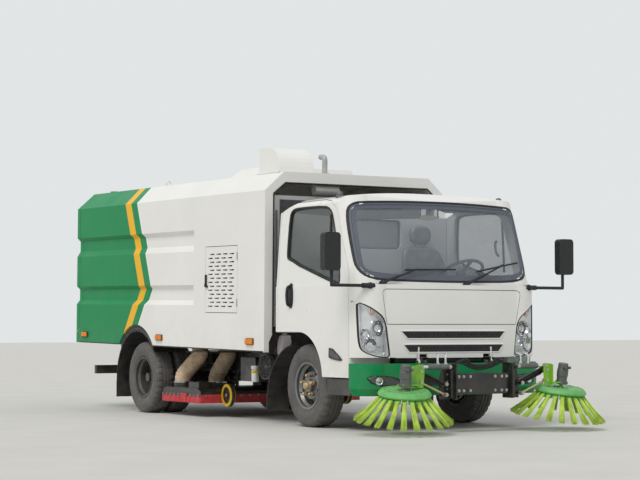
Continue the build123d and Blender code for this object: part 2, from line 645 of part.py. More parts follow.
def build_front_and_guards():
    """Bumper, steps, mudguards and the rear bar."""
    outer = Solid.make_loft([bumper_section(310, -35, 0), bumper_section(370, 0, 0), bumper_section(590, 0, 0)],
                            ruled=True)
    inner = Solid.make_loft([bumper_section(300, -38, 14), bumper_section(368, 0, 14), bumper_section(600, 0, 14)],
                            ruled=True)
    bumper = outer - inner - both_sides(block((1000, 1200), (308, 384), (BEAM_Z - 28, BEAM_Z + 48)))
    parts["front_bumper"] = bumper + both_sides(block((RAIL_X[1], RAIL_X[1] + 15), (310, 368), (490, 580)))

    step = block((450, 842), (770, 962), (312, 330)) + block((450, 842), (940, 962), (312, 452))
    step += block((450, 468), (600, 962), (312, 452)) + block((450, 842), (371, 962), (312, 322))
    step += block((680, 750), (370, 380), (312, 520))
    parts["side_steps"] = Compound([step.solid(), other_side(step).solid()])

    rear = mudguard(ARCH_CENTRE[0], ARCH_CENTRE[1], ARCH_R, 35, 184, (690, 1000))
    rear += block((-3992, -3982), (690, 1000), (150, 330)) + block((-3700, -3660), (RAIL_Y, 700), (600, 640))
    rear += block((-3700, -3660), (690, 700), (600, 834))
    front = slab_y(FRONT_GUARD + [(x + 6, z - 7) for x, z in reversed(FRONT_GUARD)], (700, 940))
    front += block((-556, -500), (RAIL_Y, 704), (575, 612))
    guards = []
    for shape in (rear, front):
        guards.append(shape.solid())
        guards.append(other_side(shape).solid())
    parts["mudguards"] = Compound(guards)

    bar = block((-4705, -4655), (-950, 950), (386, 480))
    bar += both_sides(block((-4655, -4640), (300, 380), (386, 640)))
    bar += both_sides(block((-4730, -4705), (640, 900), (392, 474)))
    parts["rear_bar"] = bar


def build_body():
    """Raked body: shell, sills, tailgate, louvred doors, roof hood and fittings."""
    bottom, top = BODY_Z
    section = [(-BODY_HALF, bottom), (BODY_HALF, bottom), (BODY_HALF, CHAMFER_Z), (CHAMFER_Y, top), (-CHAMFER_Y, top),
               (-BODY_HALF, CHAMFER_Z)]
    half_in = BODY_HALF - BODY_WALL
    chamfer_in = (CHAMFER_Z - 24, CHAMFER_Y - 24, top - BODY_WALL)
    hollow = [(-half_in, bottom - 10), (half_in, bottom - 10), (half_in, chamfer_in[0]), (chamfer_in[1], chamfer_in[2]),
              (-chamfer_in[1], chamfer_in[2]), (-half_in, chamfer_in[0])]
    outer = slab_x(section, BODY_X)
    shell = outer - slab_x(hollow, (BODY_X[0] - 10, BODY_X[1] + 10))
    grooves = []
    for low, low_in, high_in, high in GROOVES:
        for side in (1, -1):
            y = side * BODY_HALF
            deep = side * (BODY_HALF - GROOVE_DEPTH)
            over = side * (BODY_HALF + 20)
            outline = [(over, low), (y, low), (deep, low_in), (deep, high_in), (y, high), (over, high)]
            grooves.append(slab_x(outline, (-5200, GROOVE_FRONT)))
    for groove in grooves:
        shell -= groove
    # Floor and front wall of the hopper
    shell += block((BODY_X[0], BULKHEAD_X), (-half_in - 2, half_in + 2), (HOPPER_FLOOR_Z, HOPPER_FLOOR_Z + 28))
    for x, y in HOSES_TOP:
        shell -= Rot(0, -RAKE, 0) * rod((x, y, 860), (x, y, 980), HOSE_R - 1)
    shell += slab_x([(-half_in - 2, HOPPER_FLOOR_Z), (half_in + 2, HOPPER_FLOOR_Z), (half_in + 2, chamfer_in[0]),
                     (chamfer_in[1], chamfer_in[2] + 2), (-chamfer_in[1], chamfer_in[2] + 2),
                     (-half_in - 2, chamfer_in[0])], (BULKHEAD_X - 30, BULKHEAD_X))
    # Portal round the back of the cab
    portal = slab_x(section, (BODY_X[1] - 60, BODY_X[1]))
    portal -= slab_x([(-926, 838), (-1010, bottom - 1), (1010, bottom - 1), (926, 838), (926, 2150), (802, 2252),
                      (-802, 2252), (-926, 2150)], (BODY_X[1] - 61, BODY_X[1] + 1))
    shell += portal
    panel = block((BODY_X[1] - 130, BODY_X[1] - 110), (-860, 860), (900, 2140))
    for z in (1000, 1500, 2060):
        panel += block((BODY_X[1] - 150, BODY_X[1] - 128), (-half_in - 3, half_in + 3), (z, z + 40))
    shell += panel
    # Wheel arches, louvred doorway and the cuts for the hood
    for side in (1, -1):
        y = (890, 1100) if side > 0 else (-1100, -890)
        shell -= rod_y(ARCH_CENTRE[0], ARCH_CENTRE[1], y, ARCH_R + 12)
        doorway = block((LOUVRE_X[0] - GAP, LOUVRE_X[1] + GAP), y, (LOUVRE_Z[0] - GAP, LOUVRE_Z[1] + GAP))
        shell -= doorway
    hood_x = (-1140, -725)
    hood_y = (-802, -430)
    shell -= block((hood_x[0] + 30, hood_x[1] - 30), (hood_y[0] + 30, hood_y[1] - 30), (2250, 2400))
    shell -= rod((EXHAUST_AT[0], EXHAUST_AT[1], 2240), (EXHAUST_AT[0], EXHAUST_AT[1], 2400), 34)
    rake = Rot(0, RAKE, 0)
    hinge_x, hinge_z = TAILGATE_PIVOT
    hinge = rod_y(hinge_x, hinge_z, (590, 610), 16) + block((hinge_x, hinge_x + 62), (590, 610), (top - 7, hinge_z + 14))
    hinge += rod_y(hinge_x, hinge_z, (590, 640), 8)
    shell += hinge
    shell += other_side(hinge)
    parts["body_shell"] = rake * shell

    # Hood: a closed scoop with a quarter-round front, open to the rear
    hood_r = 235
    side_line = [(hood_x[0], top), (hood_x[1], top)]
    side_line += arch_points(hood_x[1] - hood_r, top + 15, hood_r, 0, 90, 8)
    side_line += [(hood_x[0], top + 15 + hood_r)]
    hood = slab_y(side_line, hood_y)
    inside = [(hood_x[0] - 1, top - 1), (hood_x[1] - 14, top - 1)]
    inside += arch_points(hood_x[1] - hood_r, top + 15, hood_r - 14, 0, 90, 8)
    inside += [(hood_x[0] - 1, top + 1 + hood_r)]
    hood -= slab_y(inside, (hood_y[0] + 14, hood_y[1] - 14))
    low_box = loft([Face(Wire.make_polygon([(x, y, z) for x, y in plan], close=True)) for z, plan in LOW_BOX])
    parts["roof_hood"] = Compound([(rake * hood).solid(), (rake * low_box).solid()])

    pipe_x, pipe_y = EXHAUST_AT
    route = FilletPolyline((pipe_x, pipe_y, 2200), (pipe_x, pipe_y, EXHAUST_TOP), (pipe_x - 78, pipe_y, EXHAUST_TOP + 6),
                           radius=36)
    pipe = sweep(Plane(origin=(pipe_x, pipe_y, 2200), z_dir=(0, 0, 1)) * Circle(26), path=route)
    pipe += rod((pipe_x, pipe_y, top), (pipe_x, pipe_y, top + 8), 50)
    pipe += rod((-684, pipe_y - 140, 2200), (-684, pipe_y + 120, 2200), 47)
    fittings = [pipe.solid()]
    for x, y in ((-3200, -780), (-3200, 780)):
        eye = Pos(x, y, top + 24) * Rot(0, 90, 0) * Torus(24, 8)
        eye &= block((x - 20, x + 20), (y - 50, y + 50), (top, top + 80))
        fittings.append(eye.solid())
    beacon = Pos(-4690, 0, top) * Cylinder(60, 85, align=(Align.CENTER, Align.CENTER, Align.MIN))
    fittings.append(beacon.solid())
    parts["roof_fittings"] = Compound([(rake * f).solid() for f in fittings])

    # Sills under the hopper floor that rest just above the frame rails
    sill = slab_y([(-4700, 735), (-4700, HOPPER_FLOOR_Z), (BULKHEAD_X - 20, HOPPER_FLOOR_Z), (BULKHEAD_X - 20, 690),
                   (-2120, 689), (-4480, 724), (-4480, 775), (-4640, 775), (-4640, 735)], (330, 410))
    for x in (-4600, -4000, -3360, -2700, -2120):
        sill += block((x, x + 40), (0, 335), (HOPPER_FLOOR_Z - 60, HOPPER_FLOOR_Z))
    sills = rake * (sill + other_side(sill))
    tip_x, tip_z = TIP_PIVOT
    ear = block((tip_x - 45, tip_x + 45), (376, 408), (tip_z, 860)) + rod_y(tip_x, tip_z, (376, 408), 45)
    ear -= rod_y(tip_x, tip_z, (370, 420), 20 + RUNNING_FIT)
    ram_x, ram_z = RAM_EYE
    ear += block((ram_x - 30, ram_x + 30), (36, 50), (ram_z, 905)) + rod_y(ram_x, ram_z, (36, 50), 30)
    ear += block((ram_x - 30, ram_x + 30), (0, 335), (860, 905))
    ear -= rod_y(ram_x, ram_z, (30, 60), 16)
    sills += ear
    sills += other_side(ear)
    for x, y in HOSES_TOP:
        sills += rod((x, y, 711), (x, y, 914), HOSE_R + 7)
        sills -= rod((x, y, 700), (x, y, 940), HOSE_R - 1)
    parts["body_sills"] = sills

    gate = slab_x(section, (BODY_X[0] - GAP - TAILGATE_T, BODY_X[0] - GAP))
    for groove in grooves:
        gate -= groove
    gate -= slab_x([(-960, 720), (960, 720), (960, 2140), (780, 2290), (-780, 2290), (-960, 2140)],
                   (BODY_X[0] - GAP - TAILGATE_T + 30, BODY_X[0] - GAP + 1))
    leaf = rod_y(hinge_x, hinge_z, (614, 634), 16) + block((hinge_x - 38, hinge_x), (614, 634), (top - 12, hinge_z + 14))
    leaf -= rod_y(hinge_x, hinge_z, (610, 640), 8 + RUNNING_FIT)
    gate += leaf
    gate += other_side(leaf)
    parts["tailgate"] = rake * gate

    # Louvred door: staggered rows of slots through a plate
    door = block(LOUVRE_X, (BODY_HALF - 30, BODY_HALF), LOUVRE_Z)
    slots = []
    rows = 14
    for row in range(rows):
        z = LOUVRE_Z[1] - 72 - 39.2 * row
        first = LOUVRE_X[0] + (60 if row % 2 else 96)
        for i in range(4):
            x = first + 138 * i
            slots.append(block((x, x + 92), (BODY_HALF - 40, BODY_HALF + 10), (z - 8, z + 8)))
    door -= slots
    for name, side in (("left", 1), ("right", -1)):
        parts["louvre_door_" + name] = rake * side_of(door, side)


def build_tipping_ram():
    """Ram between the frame and the tipping body's floor."""
    start = Vector(RAM_BASE[0], 0, RAM_BASE[1])
    run = Vector(RAM_EYE[0], 0, RAM_EYE[1]) - start
    unit = run.normalized()

    def along(distance):
        return tuple(start + unit * distance)

    barrel = rod(along(20), along(run.length - 110), 48)
    barrel += rod_y(RAM_BASE[0], RAM_BASE[1], (-42, 42), 34)
    barrel -= rod(along(70), along(run.length), 34)
    barrel -= rod_y(RAM_BASE[0], RAM_BASE[1], (-60, 60), 16 + RUNNING_FIT)
    parts["ram_barrel"] = barrel
    ram = rod(along(90), along(run.length - 20), 34 - RUNNING_FIT)
    ram += rod_y(RAM_EYE[0], RAM_EYE[1], (-32, 32), 30)
    parts["ram_rod"] = ram


def build_nozzle():
    """Suction nozzle with its skirts, trailing wheels and the two hoses above it."""
    low = NOZZLE_Z
    x0, x1 = NOZZLE_X
    half = NOZZLE_HALF
    top = slab_y([(x0, low), (x1, low), (x1, low + 30), (x1 - 90, low + 62), (x0 + 90, low + 62), (x0, low + 30)],
                 (-half, half))
    top -= slab_y([(x0 + 12, low - 1), (x1 - 12, low - 1), (x1 - 12, low + 22), (x1 - 94, low + 50),
                   (x0 + 94, low + 50), (x0 + 12, low + 22)], (-half + 12, half - 12))
    for x, y in HOSES_FOOT:
        top += rod((x, y, low + 48), (x, y, low + 118), HOSE_R + 11)
        top -= rod((x, y, low - 5), (x, y, low + 120), HOSE_R + 3)
    guard = block((-2420, -2190), (-900, -700), (low + 60, low + 120)) - block((-2410, -2200), (-890, -710), (low + 55, low + 110))
    top += guard + other_side(guard)
    caster_x, caster_y, caster_z = CASTER_AT
    fork = slab_y([(x1 - 8, low + 4), (x1 - 8, low + 30), (caster_x + 18, caster_z + 18), (caster_x + 18, caster_z - 18),
                   (caster_x - 20, caster_z - 18)], (caster_y - 44, caster_y - 34))
    fork += rod_y(caster_x, caster_z, (caster_y - 44, caster_y + 22), 10)
    top += fork + other_side(fork)
    top += both_sides(rod((POST_AT[0], POST_AT[1], low + 40), (POST_AT[0], POST_AT[1], 650), POST_R))
    parts["suction_nozzle"] = top

    t = 14
    drop = SKIRT_DROP
    frame_out = block((x0 - 2, x1 + 2), (-half - 2, half + 2), (low - drop, low))
    frame_in = block((x0 - 2 + t, x1 + 2 - t), (-half - 2 + t, half + 2 - t), (low - drop - 1, low + 1))
    parts["nozzle_skirts"] = frame_out - frame_in

    wheel = rod_y(caster_x, caster_z, (caster_y - 26, caster_y + 18), CASTER_R)
    wheel = fillet(wheel.edges().filter_by(GeomType.CIRCLE), 9)
    wheel -= rod_y(caster_x, caster_z, (caster_y - 40, caster_y + 40), 10 + RUNNING_FIT)
    wheel -= ring_y(caster_x, caster_z, (caster_y + 6, caster_y + 30), 84, 26)
    for name, side in (("left", 1), ("right", -1)):
        parts["caster_wheel_" + name] = side_of(wheel, side)

    hoses = []
    for (fx, fy), (tx, ty) in zip(HOSES_FOOT, HOSES_TOP):
        route = [(fx, fy, low + 50), (fx, fy, low + 190), (tx, ty, low + 375), (tx, ty, 706)]
        path = FilletPolyline(*route, radius=95)
        hose = sweep(Plane(origin=route[0], z_dir=(0, 0, 1)) * Circle(HOSE_R), path=path)
        hoses.append(hose.solid())
    parts["suction_hoses"] = Compound(hoses)


def build_sweeper():
    """Cross beam with its brackets, the two linkages and the side brushes."""
    bracket = slab_x([(BRACKET_Y - 44, 290), (BRACKET_Y - 44, 592), (BRACKET_Y + 34, 592), (BRACKET_Y + 70, 460),
                      (BRACKET_Y + 70, 290)], (BEAM_X - 6, BEAM_X + 6))
    bracket += block((BEAM_X - 60, BEAM_X + 90), (BRACKET_Y - 56, BRACKET_Y - 44), (290, 592))
    bracket += block((BEAM_X - 60, BEAM_X + 62), (BRACKET_Y - 44, BRACKET_Y - 8), (300, 540))
    beam = block((BEAM_X - 60, BEAM_X + 50), (-300, 300), (332, 508)) - block((BEAM_X - 50, BEAM_X + 40), (-310, 310), (342, 498))
    pins = rod_x(ARM_PIVOT[0], ARM_PIVOT[1], (BEAM_X + 4, BEAM_X + 86), 12)
    pins += rod_x(LIFT_PIVOT[0], LIFT_PIVOT[1], (BEAM_X + 4, BEAM_X + 86), 12)
    pins += rod_x(TIE_PIVOT[0], TIE_PIVOT[1], (BEAM_X + 4, BEAM_X + 86), 10)
    parts["sweeper_beam"] = beam + both_sides(bracket + pins)

    arm_x = (BEAM_X + 8, BEAM_X + 32)
    link_x = (BEAM_X + 48, BEAM_X + 76)
    dy = ARM_END[0] - ARM_PIVOT[0]
    dz = ARM_END[1] - ARM_PIVOT[1]
    run = sqrt(dy * dy + dz * dz)
    ny, nz = -dz / run, dy / run
    bar = []
    for sign, at in ((1, ARM_PIVOT), (1, ARM_END), (-1, ARM_END), (-1, ARM_PIVOT)):
        bar.append((at[0] + sign * 22 * ny, at[1] + sign * 22 * nz))
    arm = slab_x(bar, arm_x)
    for at in (ARM_PIVOT, ARM_END):
        arm += rod_x(at[0], at[1], arm_x, 26)
    for at in (ARM_PIVOT, ARM_END):
        arm -= rod_x(at[0], at[1], (arm_x[0] - 5, arm_x[1] + 5), 12 + RUNNING_FIT)

    # The ram above the arm: barrel on the bracket, rod to the carrier
    reach = LIFT_EYE[0] - LIFT_PIVOT[0]
    z = LIFT_PIVOT[1]
    mid_x = (link_x[0] + link_x[1]) / 2
    barrel = rod((mid_x, LIFT_PIVOT[0] + 10, z), (mid_x, LIFT_PIVOT[0] + reach - 80, z), 25)
    barrel += rod_x(LIFT_PIVOT[0], z, link_x, 22)
    barrel -= rod((mid_x, LIFT_PIVOT[0] + 34, z), (mid_x, LIFT_PIVOT[0] + 400, z), 15)
    barrel -= rod_x(LIFT_PIVOT[0], z, (link_x[0] - 15, link_x[1] + 15), 12 + RUNNING_FIT)
    piston = rod((mid_x, LIFT_PIVOT[0] + 96, z), (mid_x, LIFT_EYE[0] - 12, z), 14.9)
    piston += rod_x(LIFT_EYE[0], z, link_x, 20)

    # Adjusting rod below the arm
    tie_y = TIE_EYE[0] - TIE_PIVOT[0]
    tie_z = TIE_EYE[1] - TIE_PIVOT[1]
    tie_run = sqrt(tie_y * tie_y + tie_z * tie_z)
    uy, uz = tie_y / tie_run, tie_z / tie_run
    tie = rod((mid_x, TIE_PIVOT[0] + 12 * uy, TIE_PIVOT[1] + 12 * uz), (mid_x, TIE_EYE[0] - 12 * uy, TIE_EYE[1] - 12 * uz), 10)
    for at in (TIE_PIVOT, TIE_EYE):
        tie += rod_x(at[0], at[1], link_x, 18)
        tie -= rod_x(at[0], at[1], (link_x[0] - 5, link_x[1] + 5), 10 + RUNNING_FIT)

    # Carrier: upright plate with three pins, a lime bracket and the motor over the brush
    bx, by, bz = BRUSH_AT
    carrier = slab_x([(642, 392), (690, 392), (716, 430), (716, 582), (640, 590), (630, 560), (630, 500)],
                     (BEAM_X + 82, BEAM_X + 92))
    carrier += rod_x(ARM_END[0], ARM_END[1], (BEAM_X + 16, BEAM_X + 84), 12)
    carrier += rod_x(TIE_EYE[0], TIE_EYE[1], (BEAM_X + 44, BEAM_X + 84), 10)
    carrier += block((BEAM_X + 30, BEAM_X + 110), (706, 718), (402, 578))
    carrier += block((bx - 50, bx + 50), (716, by + 46), (412, 424))
    tilt = Rot(0, BRUSH_FORWARD, 0) * Rot(-BRUSH_OUTWARD, 0, 0)
    upright = Align.CENTER, Align.CENTER, Align.MIN
    motor = Pos(0, 0, 58) * Cylinder(42, 178, align=upright) + Pos(0, 0, 6) * Cylinder(15, 60, align=upright)
    carrier += Pos(bx, by, bz) * tilt * motor

    brush = Cylinder(190, 26, align=(Align.CENTER, Align.CENTER, Align.MIN))
    brush = Pos(0, 0, 12) * brush + Cone(BRUSH_DISC_R, 190, 34, align=(Align.CENTER, Align.CENTER, Align.MIN))
    brush -= Pos(0, 0, 30) * Cylinder(130, 20, align=(Align.CENTER, Align.CENTER, Align.MIN))
    brush += Pos(0, 0, -18) * Cylinder(BRUSH_DISC_R - 6, 19, align=(Align.CENTER, Align.CENTER, Align.MIN))
    root_r = BRUSH_DISC_R - 34
    for i in range(BRUSH_TUFTS):
        turn = Rot(0, 0, 360 * i / BRUSH_TUFTS)
        root = Face(Wire.make_polygon([(root_r - 9, -22, -17), (root_r + 9, -22, -17), (root_r + 9, 22, -17),
                                       (root_r - 9, 22, -17)], close=True))
        tip = Face(Wire.make_polygon([(BRUSH_TIP_R - 14, -32, -BRUSH_DROP), (BRUSH_TIP_R, -32, -BRUSH_DROP),
                                      (BRUSH_TIP_R, 32, -BRUSH_DROP), (BRUSH_TIP_R - 14, 32, -BRUSH_DROP)], close=True))
        tuft = Solid.make_loft([root.outer_wire(), tip.outer_wire()], ruled=True)
        brush += turn * tuft
    brush -= Pos(0, 0, 2) * Cylinder(15 + RUNNING_FIT, 60, align=upright)
    brush = Pos(bx, by, bz) * tilt * brush

    for name, side in (("left", 1), ("right", -1)):
        parts["brush_arm_" + name] = side_of(arm, side)
        parts["lift_barrel_" + name] = side_of(barrel, side)
        parts["lift_rod_" + name] = side_of(piston, side)
        parts["tie_rod_" + name] = side_of(tie, side)
        parts["brush_carrier_" + name] = side_of(carrier, side)
        parts["brush_" + name] = side_of(brush, side)


build_cab()
build_wheels()
build_running_gear()
build_frame()
build_front_and_guards()
build_body()
build_tipping_ram()
build_nozzle()
build_sweeper()

low_x = min(shape.bounding_box().min.X for shape in parts.values())
high_x = max(shape.bounding_box().max.X for shape in parts.values())
SHIFT_X = round(-(low_x + high_x) / 2, 1)
for node, shape in parts.items():
    export_step(Pos(SHIFT_X, 0, 0) * shape, "parts/" + node + ".step")
print(len(parts), "pieces, front axle at x", SHIFT_X)
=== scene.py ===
"""Looks of the street sweeper truck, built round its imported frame.

Metres. X runs forward, Y to the vehicle's left and Z up from the road. Places are given from the front axle,
and places on the tipping body are given level, before the rake of the unladen truck.
"""
import math
import random

import bmesh
import bpy
from mathutils import Matrix, Vector


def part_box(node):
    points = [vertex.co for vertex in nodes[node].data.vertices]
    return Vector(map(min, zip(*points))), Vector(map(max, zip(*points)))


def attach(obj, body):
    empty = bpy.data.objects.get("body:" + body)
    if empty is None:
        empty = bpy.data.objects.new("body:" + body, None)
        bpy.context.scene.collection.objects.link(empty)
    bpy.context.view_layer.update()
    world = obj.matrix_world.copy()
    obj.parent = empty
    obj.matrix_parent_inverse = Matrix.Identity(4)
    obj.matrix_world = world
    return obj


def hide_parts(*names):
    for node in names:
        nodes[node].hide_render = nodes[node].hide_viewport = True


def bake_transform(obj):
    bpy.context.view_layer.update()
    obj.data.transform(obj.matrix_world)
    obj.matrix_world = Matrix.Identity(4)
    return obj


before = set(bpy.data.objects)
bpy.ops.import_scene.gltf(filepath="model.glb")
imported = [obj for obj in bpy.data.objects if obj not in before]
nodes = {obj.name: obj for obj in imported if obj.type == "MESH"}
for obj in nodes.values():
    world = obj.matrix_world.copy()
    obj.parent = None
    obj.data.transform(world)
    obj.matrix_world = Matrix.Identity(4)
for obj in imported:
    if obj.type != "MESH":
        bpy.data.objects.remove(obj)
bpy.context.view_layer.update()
random.seed(7)

AXLE_LOW, AXLE_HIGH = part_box("front_axle")
AXLE_X = (AXLE_LOW.x + AXLE_HIGH.x) / 2
RAKE = math.radians(0.86)
WHEELBASE = 3.36
WHEEL_Z = 0.375
BODY_HALF = 1.018
AHEAD = (1, 0, 0)
LEFT = (0, 1, 0)
UP = (0, 0, 1)
# Bodies whose pieces are given level, before the rake
RAKED = ("body", "tailgate", "louvre_door_left", "louvre_door_right")


def mm(points):
    """Points that are given in millimetres, in metres."""
    return [tuple(value / 1000 for value in point) for point in points]


def on_circle(middle, radius, angle):
    """The point of a circle at an angle in degrees."""
    turn = math.radians(angle)
    return middle[0] + radius * math.cos(turn), middle[1] + radius * math.sin(turn)


# Materials

def srgb(red, green, blue):
    """A colour of 0 to 255 values as linear light."""
    linear = [((c / 255 + 0.055) / 1.055) ** 2.4 if c > 10 else c / 3294.6 for c in (red, green, blue)]
    return (*linear, 1.0)


class Shade:
    """A Principled material and the nodes that drive it, in object coordinates."""

    def __init__(self, name, colour, rough, metal=0.0, coat=0.0):
        self.mat = bpy.data.materials.new(name)
        self.mat.use_nodes = True
        self.tree = self.mat.node_tree
        self.bsdf = self.tree.nodes["Principled BSDF"]
        self.colour = colour
        self.put("Base Color", colour)
        self.put("Roughness", rough)
        self.put("Metallic", metal)
        self.put("Coat Weight", coat)
        self.where = self.node("ShaderNodeTexCoord").outputs["Object"]

    def put(self, socket, value):
        self.bsdf.inputs[socket].default_value = value

    def node(self, kind, **settings):
        made = self.tree.nodes.new(kind)
        for key, value in settings.items():
            setattr(made, key, value)
        return made

    def link(self, out, into):
        self.tree.links.new(out, into)

    def fill(self, socket, value):
        if isinstance(value, bpy.types.NodeSocket):
            self.link(value, socket)
        else:
            socket.default_value = value

    def math(self, operation, *values, clamp=False):
        made = self.node("ShaderNodeMath", operation=operation, use_clamp=clamp)
        for socket, value in zip(made.inputs, values):
            self.fill(socket, value)
        return made.outputs[0]

    def noise(self, scale, detail=3.0, stretch=(1, 1, 1)):
        spread = self.node("ShaderNodeMapping")
        spread.inputs["Scale"].default_value = stretch
        self.link(self.where, spread.inputs["Vector"])
        made = self.node("ShaderNodeTexNoise")
        made.inputs["Scale"].default_value = scale
        made.inputs["Detail"].default_value = detail
        self.link(spread.outputs[0], made.inputs["Vector"])
        return made.outputs["Fac"]

    def mix(self, share, first, second):
        made = self.node("ShaderNodeMix", data_type="RGBA")
        self.fill(made.inputs[0], share)
        self.fill(made.inputs[6], first)
        self.fill(made.inputs[7], second)
        return made.outputs[2]

    def band(self, value, low, high):
        """0 below low, 1 above high and a straight rise between them."""
        made = self.node("ShaderNodeMapRange")
        self.fill(made.inputs["Value"], value)
        made.inputs["From Min"].default_value = low
        made.inputs["From Max"].default_value = high
        return made.outputs[0]

    def axes(self):
        made = self.node("ShaderNodeSeparateXYZ")
        self.link(self.where, made.inputs[0])
        return made.outputs

    def uneven(self, amount, scale, base=None):
        """Slightly lighter and darker patches over the colour."""
        base = self.colour if base is None else base
        dark = self.node("ShaderNodeMix", data_type="RGBA", blend_type="MULTIPLY")
        self.fill(dark.inputs[0], amount)
        self.fill(dark.inputs[6], base)
        grey = self.band(self.noise(scale), 0.3, 0.7)
        self.fill(dark.inputs[7], grey)
        self.link(dark.outputs[2], self.bsdf.inputs["Base Color"])
        return dark.outputs[2]

    def dusty(self, base, height, strength, dust=srgb(150, 140, 122)):
        """Road dust that is thickest near the ground."""
        low = self.band(self.axes()[2], height, 0.1)
        patches = self.band(self.noise(7, 6), 0.35, 0.75)
        share = self.math("MULTIPLY", self.math("MULTIPLY", low, patches), strength)
        out = self.mix(share, base, dust)
        self.link(out, self.bsdf.inputs["Base Color"])
        return out

    def bump(self, height, strength, distance):
        made = self.node("ShaderNodeBump")
        made.inputs["Strength"].default_value = strength
        made.inputs["Distance"].default_value = distance
        self.link(height, made.inputs["Height"])
        self.link(made.outputs[0], self.bsdf.inputs["Normal"])

    def rough(self, low, high, scale, detail=4.0):
        made = self.node("ShaderNodeMapRange")
        self.link(self.noise(scale, detail), made.inputs["Value"])
        made.inputs["From Min"].default_value = 0.3
        made.inputs["From Max"].default_value = 0.7
        made.inputs["To Min"].default_value = low
        made.inputs["To Max"].default_value = high
        self.link(made.outputs[0], self.bsdf.inputs["Roughness"])


WHITE = srgb(240, 239, 234)
GREEN = srgb(22, 142, 84)
YELLOW = srgb(248, 190, 40)

# The chevron on the body: its left edge's apex, and how far the edge goes back for each metre up or down
STRIPE_X = -3.41
STRIPE_Z = 1.30
STRIPE_UP = 0.41
STRIPE_DOWN = 0.72
YELLOW_WIDTH = 0.148
GREEN_WIDTH = 0.297
EDGE_WIDTH = 0.318


def paint(name, colour, dust=0.25, dust_height=0.9, gloss=0.3):
    """Gloss vehicle paint with a faint orange peel and dust low down."""
    s = Shade(name, colour, 0.34, coat=gloss / 3)
    s.put("Specular IOR Level", gloss)
    base = s.uneven(0.05, 2.2)
    s.dusty(base, dust_height, dust)
    s.rough(0.3, 0.42, 5)
    s.bump(s.noise(90, 2), 0.02, 0.001)
    return s.mat


def body_paint():
    """White body paint with the green rear and the yellow chevron."""
    s = Shade("body paint", WHITE, 0.34)
    s.put("Specular IOR Level", 0.14)
    x, _, z = s.axes()
    level_x = s.math("SUBTRACT", s.math("SUBTRACT", x, AXLE_X), s.math("MULTIPLY", z, math.sin(RAKE)))
    level_z = s.math("ADD", z, s.math("MULTIPLY", s.math("SUBTRACT", x, AXLE_X), math.sin(RAKE)))
    rise = s.math("SUBTRACT", level_z, STRIPE_Z)
    up = s.math("MULTIPLY", s.math("MAXIMUM", rise, 0.0), STRIPE_UP)
    down = s.math("MULTIPLY", s.math("MAXIMUM", s.math("MULTIPLY", rise, -1.0), 0.0), STRIPE_DOWN)
    ahead = s.math("ADD", s.math("ADD", s.math("SUBTRACT", level_x, STRIPE_X), up), down)
    green = s.math("LESS_THAN", ahead, GREEN_WIDTH)
    yellow = s.math("MULTIPLY", s.math("GREATER_THAN", ahead, 0.0), s.math("LESS_THAN", ahead, YELLOW_WIDTH))
    edge = s.math("MULTIPLY", s.math("GREATER_THAN", ahead, GREEN_WIDTH),
                  s.math("LESS_THAN", ahead, EDGE_WIDTH))
    base = s.mix(edge, WHITE, srgb(250, 250, 248))
    base = s.mix(green, base, GREEN)
    base = s.mix(yellow, base, YELLOW)
    patches = s.uneven(0.05, 1.6, base)
    s.dusty(patches, 1.1, 0.25)
    s.rough(0.32, 0.44, 4)
    s.bump(s.noise(90, 2), 0.02, 0.001)
    return s.mat


def cab_paint():
    """White outside, and grey trim on the inner faces of the cab."""
    s = Shade("cab paint", WHITE, 0.32, coat=0.25)
    s.put("Specular IOR Level", 0.4)
    x, y, z = s.axes()
    truck_x = s.math("SUBTRACT", x, AXLE_X)
    across = s.math("ABSOLUTE", y)
    rise = s.math("MAXIMUM", s.math("SUBTRACT", z, 1.275), 0.0)
    lean = s.math("MULTIPLY", rise, 0.045)
    beside = s.math("ADD", across, lean)
    level_front = s.math("ADD", truck_x, s.math("MULTIPLY", rise, 0.30))
    corner = s.math("ADD", level_front, beside)
    inside = s.math("LESS_THAN", beside, 0.940)
    for test, value, limit in (("GREATER_THAN", truck_x, -0.440), ("LESS_THAN", level_front, 0.880),
                               ("LESS_THAN", corner, 1.754), ("LESS_THAN", z, 2.075),
                               ("GREATER_THAN", z, 0.875)):
        inside = s.math("MULTIPLY", inside, s.math(test, value, limit))
    base = s.mix(inside, WHITE, srgb(186, 188, 190))
    patches = s.uneven(0.05, 2.0, base)
    s.dusty(patches, 0.9, 0.3)
    s.rough(0.26, 0.4, 5)
    s.bump(s.noise(90, 2), 0.03, 0.002)
    return s.mat


def plain(name, colour, rough, metal=0.0, coat=0.0, grain=300, depth=0.0006, uneven=0.25, dust=0.0):
    """A material with patches in its colour and a fine grain."""
    s = Shade(name, colour, rough, metal, coat)
    base = s.uneven(uneven, 14)
    if dust:
        s.dusty(base, 1.3, dust)
    s.rough(max(0.02, rough * 0.8), min(1.0, rough * 1.25), 30)
    s.bump(s.noise(grain, 3), 0.25, depth)
    return s.mat


def clear(name, colour, alpha, rough=0.03, shine=1.0):
    """Tinted glass or a lens that the light passes through; on the side windows the dark tint is painted
    shade and a painted view through the glass.
    """
    s = Shade(name, colour, rough, coat=shine)
    s.uneven(0.1, 3)
    s.put("Alpha", alpha)
    s.put("Specular IOR Level", shine)
    return s.mat


def fittings_paint():
    """White lifting rings and beacon foot, and the metal of the exhaust ahead of them."""
    s = Shade("roof fittings", WHITE, 0.36, metal=0.1)
    ahead = s.math("GREATER_THAN", s.math("SUBTRACT", s.axes()[0], AXLE_X), -1.0)
    base = s.mix(ahead, WHITE, srgb(184, 184, 180))
    s.uneven(0.2, 12, base)
    s.rough(0.3, 0.46, 20)
    s.bump(s.noise(300, 3), 0.2, 0.0006)
    return s.mat


